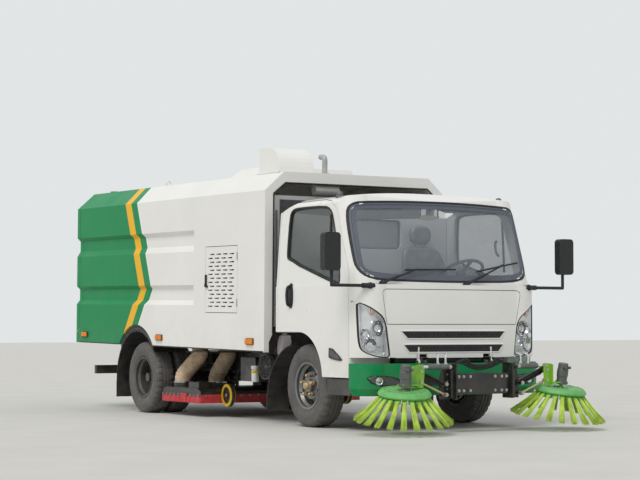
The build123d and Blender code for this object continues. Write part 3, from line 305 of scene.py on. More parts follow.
def rubber_hose(name, colour, ribs, depth):
    """Cloth-covered hose with dusty ribs."""
    s = Shade(name, colour, 0.85)
    base = s.uneven(0.3, 18)
    s.dusty(base, 0.8, 0.4)
    s.bump(s.noise(ribs, 3), 0.3, depth)
    return s.mat


MAT = {
    "body": body_paint(),
    "cab": cab_paint(),
    "white": paint("white paint", WHITE),
    "green": paint("green paint", GREEN, 0.3, gloss=0.14),
    "frame": plain("frame black", srgb(34, 34, 36), 0.45, coat=0.2, grain=120, dust=0.45),
    "black": plain("black paint", srgb(24, 24, 26), 0.35, coat=0.3, grain=160, dust=0.15),
    "plastic": plain("black plastic", srgb(30, 31, 33), 0.5, grain=700, dust=0.2),
    "grey": plain("grey plastic", srgb(88, 90, 92), 0.55, grain=600, dust=0.3),
    "cast": plain("grey casting", srgb(112, 114, 112), 0.5, metal=0.5, grain=220, depth=0.001),
    "steel": plain("zinc steel", srgb(196, 196, 190), 0.3, metal=1.0, grain=400),
    "chrome": plain("chrome", srgb(225, 226, 228), 0.07, metal=1.0, grain=900, depth=0.0001, uneven=0.05),
    "brass": plain("yellow zinc", srgb(214, 190, 150), 0.35, metal=0.7, grain=500),
    "rim": plain("wheel silver", srgb(132, 134, 136), 0.3, metal=0.75, grain=300, dust=0.35),
    "dark_rim": plain("wheel black", srgb(72, 73, 76), 0.5, metal=0.3, grain=300, dust=0.35),
    "tyre": plain("tyre rubber", srgb(92, 91, 90), 0.75, grain=420, depth=0.001, uneven=0.12, dust=0.3),
    "rubber": plain("seal rubber", srgb(22, 23, 25), 0.55, grain=500),
    "seal_grey": plain("printed border", srgb(88, 94, 106), 0.4, grain=700, uneven=0.1),
    "lime": plain("lime paint", srgb(128, 190, 30), 0.35, coat=0.3, grain=120),
    "disc": plain("brush disc", srgb(112, 188, 104), 0.5, grain=150),
    "bristle": plain("bristle", srgb(206, 240, 96), 0.55, grain=900, uneven=0.35),
    "red": plain("red rubber", srgb(214, 56, 66), 0.6, grain=300, uneven=0.3, dust=0.2),
    "yellow": plain("yellow plastic", srgb(236, 196, 40), 0.45, grain=300),
    "tan": rubber_hose("tan hose", srgb(236, 208, 176), 500, 0.0006),
    # The same tan hose coloured darker: the darker colour is painted shade for the hose that lies further in.
    "shaded_tan": rubber_hose("tan hose in painted shade", srgb(200, 176, 150), 500, 0.0006),
    "engine": plain("engine iron", srgb(58, 58, 58), 0.6, metal=0.4, grain=120, depth=0.003, dust=0.3),
    "screen": clear("windscreen", srgb(176, 186, 194), 0.17),
    # The side windows' dark green is painted shade and a painted view: it stands for the shaded cab and the
    # dark trees seen through the glass.
    "window": clear("side window with painted shade", srgb(62, 74, 64), 0.42),
    "bright": plain("bright plating", srgb(240, 242, 244), 0.2, metal=0.35, grain=60, depth=0.002,
                    uneven=0.2),
    "lens": clear("clear lens", srgb(240, 243, 245), 0.10),
    "amber": clear("amber lens", srgb(242, 138, 4), 0.96, 0.3, shine=0.2),
    "red_lens": clear("red lens", srgb(190, 24, 22), 0.92, 0.12),
    "mirror": plain("mirror glass", srgb(210, 214, 216), 0.03, metal=1.0, grain=900, depth=0.00005,
                    uneven=0.03),
    "trim": plain("trim", srgb(96, 98, 100), 0.75, grain=500),
    "dash": plain("dash", srgb(70, 72, 76), 0.6, grain=700),
    "seat": plain("seat cover", srgb(104, 106, 112), 0.55, coat=0.5, grain=60, depth=0.004, uneven=0.4),
    "bottle": clear("washer bottle", srgb(246, 238, 240), 0.94, 0.4, shine=0.3),
    "step": plain("step grey", srgb(66, 67, 68), 0.55, grain=600, dust=0.2),
    "beige": plain("beige plastic", srgb(206, 198, 180), 0.5, grain=600, uneven=0.1),
    "fittings": fittings_paint(),
}

# Each look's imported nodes
CAD_LOOKS = {
    "body": "body_shell tailgate louvre_door_left louvre_door_right",
    "white": "roof_hood",
    "cab": "cab_shell door_left door_right front_flap",
    "green": "front_bumper",
    "step": "side_steps",
    "plastic": "mudguards mirrors caster_wheel_left caster_wheel_right",
    "frame": "chassis_frame front_axle rear_axle leaf_springs body_sills side_tanks rear_bar ram_barrel "
             "knuckle_left knuckle_right",
    "black": "sweeper_beam brush_arm_left brush_arm_right suction_nozzle",
    "engine": "engine_block aux_engine",
    "screen": "cab_glass",
    "window": "door_glass_left door_glass_right",
    "rim": "front_rim_left front_rim_right",
    "dark_rim": "rear_rims_left rear_rims_right",
    "fittings": "roof_fittings",
    "dash": "dashboard",
    "lime": "brush_carrier_left brush_carrier_right",
    "cast": "lift_barrel_left lift_barrel_right",
    "chrome": "lift_rod_left lift_rod_right ram_rod",
    "brass": "tie_rod_left tie_rod_right",
    "red": "nozzle_skirts",
}


def dress_frame():
    """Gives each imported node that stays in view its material."""
    for look, names in CAD_LOOKS.items():
        for name in names.split():
            materials = nodes[name].data.materials
            materials.clear()
            materials.append(MAT[look])


# Mesh building

def turn_to(direction):
    """The turn that points +Z along a direction."""
    return Vector(direction).to_track_quat("Z", "Y").to_matrix().to_4x4()


class Kit:
    """Collects simple forms into one mesh."""

    def __init__(self):
        self.bm = bmesh.new()

    def box(self, x, y, z, turn=None, at=None):
        """A box between the low and high values of each axis, turned about a point."""
        size = Matrix.Diagonal((x[1] - x[0], y[1] - y[0], z[1] - z[0], 1))
        middle = Vector(((x[0] + x[1]) / 2, (y[0] + y[1]) / 2, (z[0] + z[1]) / 2))
        place = Matrix.Translation(middle) @ size
        if turn is not None:
            pivot = Vector(at)
            place = Matrix.Translation(pivot) @ turn @ Matrix.Translation(-pivot) @ place
        bmesh.ops.create_cube(self.bm, size=1, matrix=place)
        return self

    def rod(self, start, end, radius, sides=20, tip=None):
        """A round bar or a cone between two points."""
        start = Vector(start)
        run = Vector(end) - start
        place = Matrix.Translation(start + run / 2) @ turn_to(run)
        bmesh.ops.create_cone(self.bm, cap_ends=True, segments=sides, radius1=radius,
                              radius2=radius if tip is None else tip, depth=run.length, matrix=place)
        return self

    def ball(self, middle, radius, flat=1.0):
        place = Matrix.Translation(middle) @ Matrix.Diagonal((1, 1, flat, 1))
        bmesh.ops.create_uvsphere(self.bm, u_segments=20, v_segments=12, radius=radius, matrix=place)
        return self

    def rings(self, loops, close_loop=True, closed=False, caps=False):
        """Joins rings of points with faces. The last ring meets the first when closed."""
        made = [[self.bm.verts.new(p) for p in loop] for loop in loops]
        pairs = list(zip(made, made[1:]))
        if closed:
            pairs.append((made[-1], made[0]))
        for a, b in pairs:
            count = len(a)
            for i in range(count if close_loop else count - 1):
                j = (i + 1) % count
                self.bm.faces.new((a[i], a[j], b[j], b[i]))
        if caps:
            self.bm.faces.new(list(reversed(made[0])))
            self.bm.faces.new(made[-1])
        return self

    def lathe(self, profile, centre, axis=LEFT, steps=48, closed=True, shape=None):
        """A section of (radius, along) points turned about an axis. A shape changes the radius."""
        spin = Matrix.Translation(centre) @ turn_to(axis)
        loops = []
        for k in range(steps):
            a = 2 * math.pi * k / steps
            loop = []
            for i, (radius, along) in enumerate(profile):
                r = radius if shape is None else shape(k, i, radius, along)
                loop.append(spin @ Vector((r * math.cos(a), r * math.sin(a), along)))
            loops.append(loop)
        return self.rings(loops, close_loop=closed, closed=True)

    def tube(self, points, radius, sides=12, ribs=None):
        """A round tube along points. Ribs are (count per metre, height)."""
        points = [Vector(p) for p in points]
        travelled = 0.0
        normal = None
        loops = []
        for i, p in enumerate(points):
            ahead = points[min(i + 1, len(points) - 1)] - points[max(i - 1, 0)]
            ahead.normalize()
            if normal is None:
                normal = ahead.orthogonal().normalized()
            normal = (normal - ahead * normal.dot(ahead)).normalized()
            across = ahead.cross(normal)
            if i:
                travelled += (p - points[i - 1]).length
            r = radius
            if ribs:
                r += ribs[1] * math.sin(2 * math.pi * ribs[0] * travelled)
            loops.append([p + normal * (r * math.cos(t)) + across * (r * math.sin(t))
                          for t in (2 * math.pi * k / sides for k in range(sides))])
        return self.rings(loops, caps=True)

    def slab(self, outline, depth):
        """A flat outline of points, thickened along a vector."""
        depth = Vector(depth)
        near = [Vector(p) for p in outline]
        return self.rings([near, [p + depth for p in near]], caps=True)

    def bolt(self, middle, axis, radius=0.009, height=0.006):
        """A hexagon head on a washer."""
        middle = Vector(middle)
        axis = Vector(axis).normalized()
        self.rod(middle, middle + axis * height * 0.35, radius * 1.35, 16)
        return self.rod(middle + axis * height * 0.3, middle + axis * height * 1.3, radius, 6)

    def done(self, name, look, body, sharp=32, bevel=0.0, mirror=False, replaces=()):
        """Turns what was collected into a piece that rides on a body."""
        bmesh.ops.recalc_face_normals(self.bm, faces=self.bm.faces)
        if mirror:
            bmesh.ops.transform(self.bm, matrix=Matrix.Diagonal((1, -1, 1, 1)), verts=self.bm.verts)
            bmesh.ops.reverse_faces(self.bm, faces=self.bm.faces)
        place = Matrix.Translation((AXLE_X, 0, 0))
        if body in RAKED:
            place = place @ Matrix.Rotation(RAKE, 4, "Y")
        bmesh.ops.transform(self.bm, matrix=place, verts=self.bm.verts)
        limit = math.radians(sharp)
        for face in self.bm.faces:
            face.smooth = True
        for edge in self.bm.edges:
            edge.smooth = len(edge.link_faces) == 2 and edge.calc_face_angle(0.0) < limit
        mesh = bpy.data.meshes.new(name)
        self.bm.to_mesh(mesh)
        obj = bpy.data.objects.new(name, mesh)
        bpy.context.scene.collection.objects.link(obj)
        mesh.materials.append(MAT[look])
        if bevel:
            soft = obj.modifiers.new("soft edges", "BEVEL")
            soft.width = bevel
            soft.segments = 2
            soft.limit_method = "ANGLE"
            soft.harden_normals = True
        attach(obj, body)
        if replaces:
            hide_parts(*replaces)
        return obj

    def both(self, name, look, body, **options):
        """Two mirrored pieces. A brace pair in a name stands for the side."""
        twin = Kit()
        twin.bm.free()
        twin.bm = self.bm.copy()
        nodes_of = options.pop("replaces", ())
        self.done(name.format("left"), look, body.format("left"),
                  replaces=[n.format("left") for n in nodes_of], **options)
        twin.done(name.format("right"), look, body.format("right"), mirror=True,
                  replaces=[n.format("right") for n in nodes_of], **options)


def smooth_path(points, steps=8):
    """Points on a Catmull-Rom curve through the given points."""
    points = [Vector(p) for p in points]
    ends = [points[0] * 2 - points[1]] + points + [points[-1] * 2 - points[-2]]
    out = []
    for a, b, c, d in zip(ends, ends[1:], ends[2:], ends[3:]):
        for i in range(steps):
            t = i / steps
            out.append(0.5 * (b * 2 + (c - a) * t + (a * 2 - b * 5 + c * 4 - d) * t ** 2
                              + (b * 3 - a - c * 3 + d) * t ** 3))
    out.append(points[-1])
    return out


def rounded(outline, passes=2):
    """Corner cutting of a closed outline of (u, v) points."""
    for _ in range(passes):
        cut = []
        for (u0, v0), (u1, v1) in zip(outline, outline[1:] + outline[:1]):
            cut.append((u0 * 0.75 + u1 * 0.25, v0 * 0.75 + v1 * 0.25))
            cut.append((u0 * 0.25 + u1 * 0.75, v0 * 0.25 + v1 * 0.75))
        outline = cut
    return outline


def divided(outline, longest=0.08):
    """The closed outline with its long runs divided."""
    out = []
    for (u0, v0), (u1, v1) in zip(outline, outline[1:] + outline[:1]):
        count = max(1, math.ceil(math.hypot(u1 - u0, v1 - v0) / longest))
        out += [(u0 + (u1 - u0) * i / count, v0 + (v1 - v0) * i / count) for i in range(count)]
    return out


def inset(outline, amount):
    """The closed outline moved inwards, corner by corner."""
    middle_u = sum(u for u, _ in outline) / len(outline)
    middle_v = sum(v for _, v in outline) / len(outline)
    out = []
    count = len(outline)
    for i, (u, v) in enumerate(outline):
        u0, v0 = outline[i - 1]
        u1, v1 = outline[(i + 1) % count]
        run = math.hypot(u1 - u0, v1 - v0) or 1.0
        nu, nv = -(v1 - v0) / run, (u1 - u0) / run
        if nu * (middle_u - u) + nv * (middle_v - v) < 0:
            nu, nv = -nu, -nv
        out.append((u + nu * amount, v + nv * amount))
    return out


# Surfaces of the cab: nose x, corner, corner middle and side end, each (x, y), level, lean x and lean y
LOWER_BAND = (1.050, (1.003, 0.700), (0.963, 0.891), (0.850, 0.973), 0.923, 0.0, 0.0)
BUMPER_BAND = (1.092, (1.042, 0.740), (0.990, 0.923), (0.880, 0.985), 0.450, 0.0, 0.0)
UPPER_BAND = (0.968, (0.918, 0.735), (0.888, 0.896), (0.800, 0.966), 1.312, 0.30, 0.045)


def circle_through(a, b, c):
    """Centre and radius of the circle through three points."""
    (ax, ay), (bx, by), (cx, cy) = a, b, c
    d = 2 * (ax * (by - cy) + bx * (cy - ay) + cx * (ay - by))
    aa, bb, cc = (x * x + y * y for x, y in (a, b, c))
    ux = (aa * (by - cy) + bb * (cy - ay) + cc * (ay - by)) / d
    uy = (aa * (cx - bx) + bb * (ax - cx) + cc * (bx - ax)) / d
    return ux, uy, math.hypot(ax - ux, ay - uy)


def front_of(band, y, z, out=0.0):
    """A point on the front of the cab, moved outwards."""
    nose, corner, middle, side, level, lean_x, lean_y = band
    rise = z - level
    across = min(abs(y) + lean_y * rise, side[1] - 0.002)
    if across <= corner[1]:
        sag = nose - corner[0]
        bow = (corner[1] ** 2 + sag ** 2) / (2 * sag)
        x = nose - bow + math.sqrt(bow ** 2 - across ** 2)
        normal = Vector((bow, math.copysign(across, y), 0))
    else:
        ux, uy, radius = circle_through(corner, middle, side)
        x = ux + math.sqrt(max(radius ** 2 - (across - uy) ** 2, 0.0))
        normal = Vector((x - ux, math.copysign(across - uy, y), 0))
    normal.normalize()
    normal.z = lean_x * normal.x
    normal.normalize()
    return Vector((x - lean_x * rise, y, z)) + normal * out


def side_of(x, z, out=0.0):
    """A point on the flat left side of the cab, moved outwards."""
    return Vector((x, (0.973 if z < 1.275 else 0.966 - 0.045 * (z - 1.312)) + out, z))


def outward(surface, u, v):
    """The direction that a surface faces at a point."""
    return (surface(u, v, 0.01) - surface(u, v, 0.0)).normalized()


def edge_ring(kit, outline, surface, profile):
    """A seal along a closed outline. The profile holds (inset, height over the surface) pairs."""
    loops = []
    for step, height in profile:
        loops.append([surface(u, v, height) for u, v in inset(outline, step)])
    kit.rings(loops, closed=True)
    return kit


def patch(kit, outline, surface, height, rings=5):
    """A skin over a closed outline, drawn in rings to its middle."""
    middle_u = sum(u for u, _ in outline) / len(outline)
    middle_v = sum(v for _, v in outline) / len(outline)
    loops = []
    for i in range(rings):
        t = 1 - i / rings
        loops.append([surface(middle_u + (u - middle_u) * t, middle_v + (v - middle_v) * t, height)
                      for u, v in outline])
    made = [[kit.bm.verts.new(p) for p in loop] for loop in loops]
    for a, b in zip(made, made[1:]):
        for i in range(len(a)):
            j = (i + 1) % len(a)
            kit.bm.faces.new((a[i], a[j], b[j], b[i]))
    tip = kit.bm.verts.new(surface(middle_u, middle_v, height))
    for i in range(len(made[-1])):
        kit.bm.faces.new((made[-1][i], made[-1][(i + 1) % len(made[-1])], tip))
    return kit


# Wheels

TYRE_PROFILE = mm([(205, 72), (206, 82), (216, 91), (234, 98), (238, 101.5), (262, 104.5), (266, 106.5),
                   (300, 107), (325, 104.5), (345, 100), (352, 98), (366, 88), (371.5, 74), (374, 60),
                   (374.5, 43), (366, 40), (366, 33), (375, 30), (375, 8), (367, 5)])
TYRE_STEPS = 132
# Middles of the front tyre and of the two rear tyres
FRONT_Y = 0.813
TWINS_Y = (0.877, 0.637)


def tread(k, i, radius, along):
    """Notches the shoulders and cuts fine slots in the ribs."""
    if 10 <= i <= 14 or 25 <= i <= 29:
        return radius - (0.010 if k % 4 == 0 else 0.0)
    if i in (17, 18, 21, 22):
        return radius - (0.004 if k % 4 == 2 else 0.0)
    return radius


def build_wheels():
    """Tyres with their tread, wheel nuts, hub caps and valves."""
    section = TYRE_PROFILE + [(r, -y) for r, y in reversed(TYRE_PROFILE)]
    kit = Kit()
    kit.lathe(section, (0, FRONT_Y, WHEEL_Z), steps=TYRE_STEPS, closed=False, shape=tread)
    kit.both("tyre_front_{}", "tyre", "wheel_front_{}", replaces=["front_tyre_{}"])
    kit = Kit()
    for y in TWINS_Y:
        kit.lathe(section, (-WHEELBASE, y, WHEEL_Z), steps=TYRE_STEPS, closed=False, shape=tread)
    kit.both("tyres_rear_{}", "tyre", "wheel_rear_{}", replaces=["rear_tyres_{}"])

    nuts = Kit()
    for i in range(5):
        x, z = on_circle((0, WHEEL_Z), 0.092, 90 + 72 * i)
        nuts.rod((x, FRONT_Y + 0.078, z), (x, FRONT_Y + 0.086, z), 0.021, 24, 0.019)
        nuts.rod((x, FRONT_Y + 0.084, z), (x, FRONT_Y + 0.102, z), 0.0165, 6)
        nuts.ball((x, FRONT_Y + 0.102, z), 0.0145)
    nuts.both("wheel_nuts_front_{}", "brass", "wheel_front_{}")
    hub = Kit()
    hub.lathe(mm([(0.5, 128), (18, 127), (30, 122), (36, 112), (38, 85), (46, 83), (46, 81), (0.5, 81)]),
              (0, FRONT_Y, WHEEL_Z), steps=36)
    hub.both("hub_cap_front_{}", "brass", "wheel_front_{}")
    lip = Kit()
    for r in (0.2135, 0.192):
        lip.lathe([(r, 0.095), (r + 0.004, 0.099), (r + 0.008, 0.095), (r + 0.004, 0.091)],
                  (0, FRONT_Y - (0.004 if r > 0.2 else 0.040), WHEEL_Z), steps=60)
    lip.both("rim_lips_front_{}", "rim", "wheel_front_{}")
    valve = Kit()
    foot, bend, tip = ((x, FRONT_Y + out, WHEEL_Z - drop) for x, out, drop in
                       mm([(-150, 20, 60), (-158, 62, 64), (-160, 74, 65)]))
    valve.rod(foot, bend, 0.004, 10)
    valve.rod(bend, tip, 0.005, 10)
    valve.both("valve_front_{}", "rubber", "wheel_front_{}")

    nuts = Kit()
    mid = sum(TWINS_Y) / 2
    for i in range(5):
        x, z = on_circle((-WHEELBASE, WHEEL_Z), 0.112, 90 + 72 * i)
        nuts.rod((x, mid + 0.032, z), (x, mid + 0.058, z), 0.0165, 6)
        nuts.ball((x, mid + 0.058, z), 0.014)
    for i in range(8):
        x, z = on_circle((-WHEELBASE, WHEEL_Z), 0.062, 45 * i)
        nuts.bolt((x, mid + 0.094, z), LEFT, 0.008, 0.007)
    nuts.both("wheel_nuts_rear_{}", "steel", "wheel_rear_{}")
    cap = Kit()
    cap.lathe(mm([(0.5, 18), (30, 16), (46, 9), (52, 0), (0.5, 0)]),
              (-WHEELBASE, mid + 0.096, WHEEL_Z), steps=36)
    cap.both("hub_cap_rear_{}", "dark_rim", "wheel_rear_{}")


# Cab

SCREEN_HALF = mm([(0, 1300), (350, 1304), (650, 1310), (800, 1327), (872, 1362), (908, 1425), (914, 1500),
                  (914, 1720), (908, 1860), (896, 1945), (860, 1988), (790, 2008), (400, 2021),
                  (0, 2024)])
DOOR_WINDOW = mm([(-270, 1520), (-282, 1600), (-256, 1920), (-215, 1975), (-100, 1988), (370, 1980),
                  (462, 1950), (520, 1885), (655, 1450), (672, 1310), (655, 1284), (600, 1284)])
LAMP_ROOM = mm([(712, 997), (672, 870), (654, 637), (870, 655), (968, 699), (968, 1135), (900, 1105)])
LAMP_OUTLINE = mm([(664, 642), (746, 642), (828, 657), (890, 684), (922, 716), (934, 794), (938, 914),
                   (942, 1034), (942, 1122), (868, 1086), (794, 1038), (734, 994), (700, 930), (686, 826),
                   (672, 722)])
LAMP_MIDDLE = (0.820, 0.850)
# y, z, radius and depth of each bowl, the first with the projector
LAMP_BOWLS = mm([(775, 893, 64, 42), (890, 845, 44, 36), (850, 748, 52, 40)])
# z low, z high, half width low, half width high
SLOTS = ((0.807, 0.867, 0.492, 0.552), (0.688, 0.749, 0.476, 0.529))
# The lower opening's pieces leave room for the ends of the frame rails
LOWER_RUNS = mm([(-600, -404), (-298, 298), (404, 600)])
REAR_WINDOW = mm([(-362, 1680), (-332, 1650), (332, 1650), (362, 1680), (362, 1902), (332, 1932),
                  (-332, 1932), (-362, 1902)])


def upper(y, z, out):
    return front_of(UPPER_BAND, y, z, out)


def lower(y, z, out):
    return front_of(LOWER_BAND, y, z, out)


def bumper_face(y, z, out):
    return front_of(BUMPER_BAND, y, z, out)


def rear_wall(y, z, out):
    """A point on the cab's rear wall, moved outwards."""
    return Vector((-0.464 + (z - 1.259) * 0.0447 - out, y, z))


def rays(outline, middle, count=72):
    """The closed outline met by even rays from a point inside it."""
    out = []
    for k in range(count):
        a = 2 * math.pi * k / count
        du, dv = math.cos(a), math.sin(a)
        best = 0.0
        for (u0, v0), (u1, v1) in zip(outline, outline[1:] + outline[:1]):
            eu, ev = u1 - u0, v1 - v0
            cross = du * ev - dv * eu
            if abs(cross) < 1e-9:
                continue
            wu, wv = u0 - middle[0], v0 - middle[1]
            reach = (wu * ev - wv * eu) / cross
            along = (wu * dv - wv * du) / cross
            if reach > 0 and -1e-6 <= along <= 1 + 1e-6:
                best = max(best, reach)
        out.append((middle[0] + du * best, middle[1] + dv * best))
    return out


def build_glass_edges():
    """Windscreen seal and its dark border, door window seals and the quarter bar."""
    outline = SCREEN_HALF + [(-y, z) for y, z in reversed(SCREEN_HALF[1:-1])]
    outline = divided(rounded(outline, 1), 0.06)
    kit = edge_ring(Kit(), outline, upper, mm([(-6, -4), (-4, 4), (8, 5), (14, 2), (15, -4), (4, -6)]))
    kit.done("windscreen_seal", "rubber", "cab")
    border = edge_ring(Kit(), outline, upper, mm([(6, 1.2), (27, 1.2), (31, -4.5), (64, -5.2), (64, -7.2),
                                                  (29, -7.2), (25, -0.8), (6, -0.8)]))
    border.done("windscreen_border", "seal_grey", "cab")
    window = divided(rounded(DOOR_WINDOW, 1), 0.06)
    seal = edge_ring(Kit(), window, side_of, mm([(-10, -4), (-8, 3), (6, 4), (14, -4), (14, -24),
                                                 (2, -24)]))
    bar = [side_of(0.470, z, -0.012) for z in (1.415, 1.90)]
    seal.slab([bar[end] + Vector((dx, 0, 0)) for end, dx in
               ((0, -0.011), (0, 0.011), (1, 0.011), (1, -0.011))], (0, 0.010, 0.001))
    seal.both("door_window_seal_{}", "rubber", "door_{}")
    rear = edge_ring(Kit(), divided(rounded(REAR_WINDOW, 1), 0.06), rear_wall,
                     mm([(-10, -4), (-8, 4), (8, 4), (14, -4), (14, -30), (-2, -30)]))
    rear.done("rear_window_seal", "rubber", "cab")


def build_wipers():
    """Two wiper arms on round bosses, with their blades and nozzles."""
    kit = Kit()
    blades = Kit()
    # pivot, arm's end, blade's start, blade's end, each (y, z)
    for pivot, end, start, stop in (
            mm([(-703, 1281), (-354, 1402), (-457, 1401), (68, 1412)]),
            mm([(149, 1274), (614, 1459), (301, 1397), (795, 1486)])):
        base = upper(pivot[0], pivot[1], -0.004)
        out = outward(upper, *pivot)
        kit.rod(base, base + out * 0.026, 0.025, 24, 0.023)
        kit.rod(base + out * 0.024, base + out * 0.040, 0.023, 24, 0.014)
        root = base + out * 0.026
        mid = upper(pivot[0] * 0.55 + end[0] * 0.45, pivot[1] * 0.55 + end[1] * 0.45, 0.036)
        tip = upper(end[0], end[1], 0.027)
        kit.tube(smooth_path([root, (root + mid) / 2 + out * 0.004, mid], 5), 0.0125, 10)
        kit.tube(smooth_path([mid, (mid + tip) / 2, tip], 5), 0.008, 10)
        hook = upper((start[0] + stop[0]) / 2, (start[1] + stop[1]) / 2, 0.021)
        kit.tube([tip, (tip + hook) / 2, hook], 0.0065, 8)
        line = []
        for t in [i / 12 for i in range(13)]:
            y, z = (a + (b - a) * t for a, b in zip(start, stop))
            line.append(upper(y, z, 0.014))
        kit.tube(line, 0.0078, 8)
        blades.tube([p - out * 0.008 for p in line], 0.0035, 6)
        jet = upper(pivot[0] + 0.045, pivot[1] + 0.006, -0.002)
        kit.ball(jet + out * 0.004, 0.008)
    kit.done("wiper_arms", "plastic", "cab")
    blades.done("wiper_blades", "rubber", "cab")


def build_headlights():
    """Headlights: bright tub, chrome bowls, projector, amber lamp and the clear cover, and the roof lamps."""
    outline = divided(rounded(LAMP_OUTLINE, 1), 0.05)
    cover = patch(Kit(), outline, lower, -0.003, 7)
    edge_ring(cover, outline, lower, mm([(0, -3), (0, -12), (2, -12)]))
    cover.both("headlight_cover_{}", "lens", "cab")
    tub = patch(Kit(), outline, lower, -0.062, 6)
    edge_ring(tub, outline, lower, mm([(7, -62), (7, -10), (11, -10), (11, -62)]))
    tub.both("headlight_tub_{}", "bright", "cab")
    trim = edge_ring(Kit(), outline, lower, mm([(-5, -6), (-4, 1.8), (4, 1.8), (5, -14), (-3, -14)]))
    trim.both("headlight_gasket_{}", "rubber", "cab")
    # The painted panel between the lamp and the edge of its room in the cab
    wide = rays(LAMP_ROOM, LAMP_MIDDLE)
    close = rays(rounded(LAMP_OUTLINE, 1), LAMP_MIDDLE)
    mid_y, mid_z = LAMP_MIDDLE
    loops = []
    for line, grow, height in ((wide, 1.020, -0.001), (wide, 1.020, 0.001), (close, 1.004, 0.001),
                               (close, 1.004, -0.040)):
        loops.append([lower(mid_y + (u - mid_y) * grow, mid_z + (v - mid_z) * grow, height) for u, v in line])
    Kit().rings(loops).both("headlight_surround_{}", "cab", "cab")
    bowls = Kit()
    glass = Kit()
    rims = Kit()
    for y, z, radius, depth in LAMP_BOWLS:
        profile = [(radius, 0.0), (radius * 1.04, 0.004), (radius * 1.08, 0.0), (radius * 0.9, -depth * 0.45),
                   (radius * 0.5, -depth * 0.95), (0.002, -depth), (0.002, -depth + 0.003),
                   (radius * 0.48, -depth * 0.88), (radius * 0.84, -depth * 0.4)]
        bowls.lathe(profile, lower(y, z, -0.018), axis=outward(lower, y, z), steps=36)
    y, z = LAMP_BOWLS[0][:2]
    out = outward(lower, y, z)
    glass.lathe(mm([(0.5, 24), (16, 21), (29, 11), (34, 0), (0.5, 0)]), lower(y, z, -0.036),
                axis=out, steps=32)
    rims.lathe(mm([(34, -4), (42, 0), (43, 6), (35, 5)]), lower(y, z, -0.032), axis=out, steps=32)
    for i in range(8):
        low_z = 0.664 + 0.0115 * i
        first = 0.712 - 0.002 * i
        last = 0.845 + 0.010 * i
        bowls.tube([lower(first, low_z, -0.034), lower((first + last) / 2, low_z - 0.004, -0.026),
                    lower(last, low_z + 0.006, -0.036)], 0.0052, 8)
    # Number, radius, first y and its step, and the low, middle and high z with their steps
    for count, radius, first, step, heights in (
            (7, 0.0062, 0.722, 0.021, ((0.972, 0.010), (1.0, 0.012), (1.030, 0.011))),
            (5, 0.0055, 0.800, 0.020, ((0.792, 0.004), (0.812, 0.004), (0.832, 0.004)))):
        for i in range(count):
            bowls.tube([lower(first + step * i + 0.006 * j, z + rise * i, -0.034 if j == 1 else -0.040)
                        for j, (z, rise) in enumerate(heights)], radius, 8)
    bowls.both("headlight_bowls_{}", "chrome", "cab")
    glass.both("headlight_projector_{}", "lens", "cab")
    rims.both("headlight_rim_{}", "plastic", "cab")
    amber = Kit()
    amber.ball(lower(0.828, 1.020, -0.030), 0.015)
    amber.both("headlight_amber_{}", "amber", "cab")
    for name, side, options in (("left", 1, {"replaces": ["front_lamps"]}), ("right", -1, {})):
        dome = Kit()
        dome.lathe(mm([(0.5, 60), (14, 58), (24, 50), (29, 36), (29, 18), (36, 15), (39, 0), (0.5, 0)]),
                   (0.505, 0.866 * side, 2.050), axis=UP, steps=28)
        dome.done("roof_lamp_" + name, "cast", "cab", **options)


def build_grille():
    """Dark inserts with a hexagon net in the cab's slots, and the slatted lower opening."""
    inserts = Kit()
    frames = Kit()
    net = Kit()
    for low_z, high_z, half_low, half_high in SLOTS:
        outline = divided([(-half_low, low_z), (half_low, low_z), (half_high, high_z), (-half_high, high_z)],
                          0.05)
        patch(inserts, outline, lower, 0.0010, 10)
        edge_ring(inserts, outline, lower, mm([(0, 1), (0, -10), (3, -10)]))
        edge_ring(frames, outline, lower, mm([(0.5, 0.4), (0, 4), (-6, 5), (-16, 0.4)]))
        mid_z = (low_z + high_z) / 2
        count = 2 * int(half_low / 0.036)
        for i in range(-count, count):
            y0, y1 = 0.018 * i, 0.018 * (i + 1)
            lift = 0.005 if i % 2 else -0.005
            wires = [(y1, mid_z + 0.013 + lift, mid_z + 0.013 - lift),
                     (y1, mid_z - 0.013 - lift, mid_z - 0.013 + lift)]
            if i % 2:
                wires += [(y0, mid_z + 0.018, high_z - 0.002), (y0, mid_z - 0.018, low_z + 0.002)]
            else:
                wires.append((y0, mid_z - 0.008, mid_z + 0.008))
            for y, z0, z1 in wires:
                net.tube([lower(y0, z0, 0.003), lower(y, z1, 0.003)], 0.0016, 6)
    inserts.done("grille_inserts", "rubber", "cab")
    frames.done("grille_frames", "cab", "cab")
    net.done("grille_net", "step", "cab")
    # The painted strip over the top of the lower opening, and the dark plate behind it
    strip = Kit()
    for y0, y1 in LOWER_RUNS:
        outline = divided([(y0, 0.636), (y1, 0.636), (y1, 0.673), (y0, 0.673)], 0.05)
        patch(strip, outline, lower, 0.0010, 6)
        edge_ring(strip, outline, lower, mm([(0, 1), (0, -20), (4, -20)]))
    strip.done("lower_grille_strip", "cab", "cab")
    backs = Kit()
    for i in range(12):
        y0, y1 = ((2 * j / 12 - 1) * 0.585 for j in (i, i + 1))
        x = lower((y0 + y1) / 2, 0.64, 0).x
        backs.box((x - 0.060, x - 0.052), (y0, y1), (0.588, 0.672))
    backs.done("grille_backs", "rubber", "cab")
    slats = Kit()
    for z in (0.607, 0.618, 0.629):
        for run_low, run_high in LOWER_RUNS:
            for i in range(6):
                y0 = run_low + (run_high - run_low) * i / 6
                y1 = run_low + (run_high - run_low) * (i + 1) / 6
                x = lower((y0 + y1) / 2, z, 0).x
                slats.box((x - 0.045, x - 0.018), (y0, y1), (z - 0.003, z + 0.003))
    slats.done("lower_grille", "plastic", "cab")


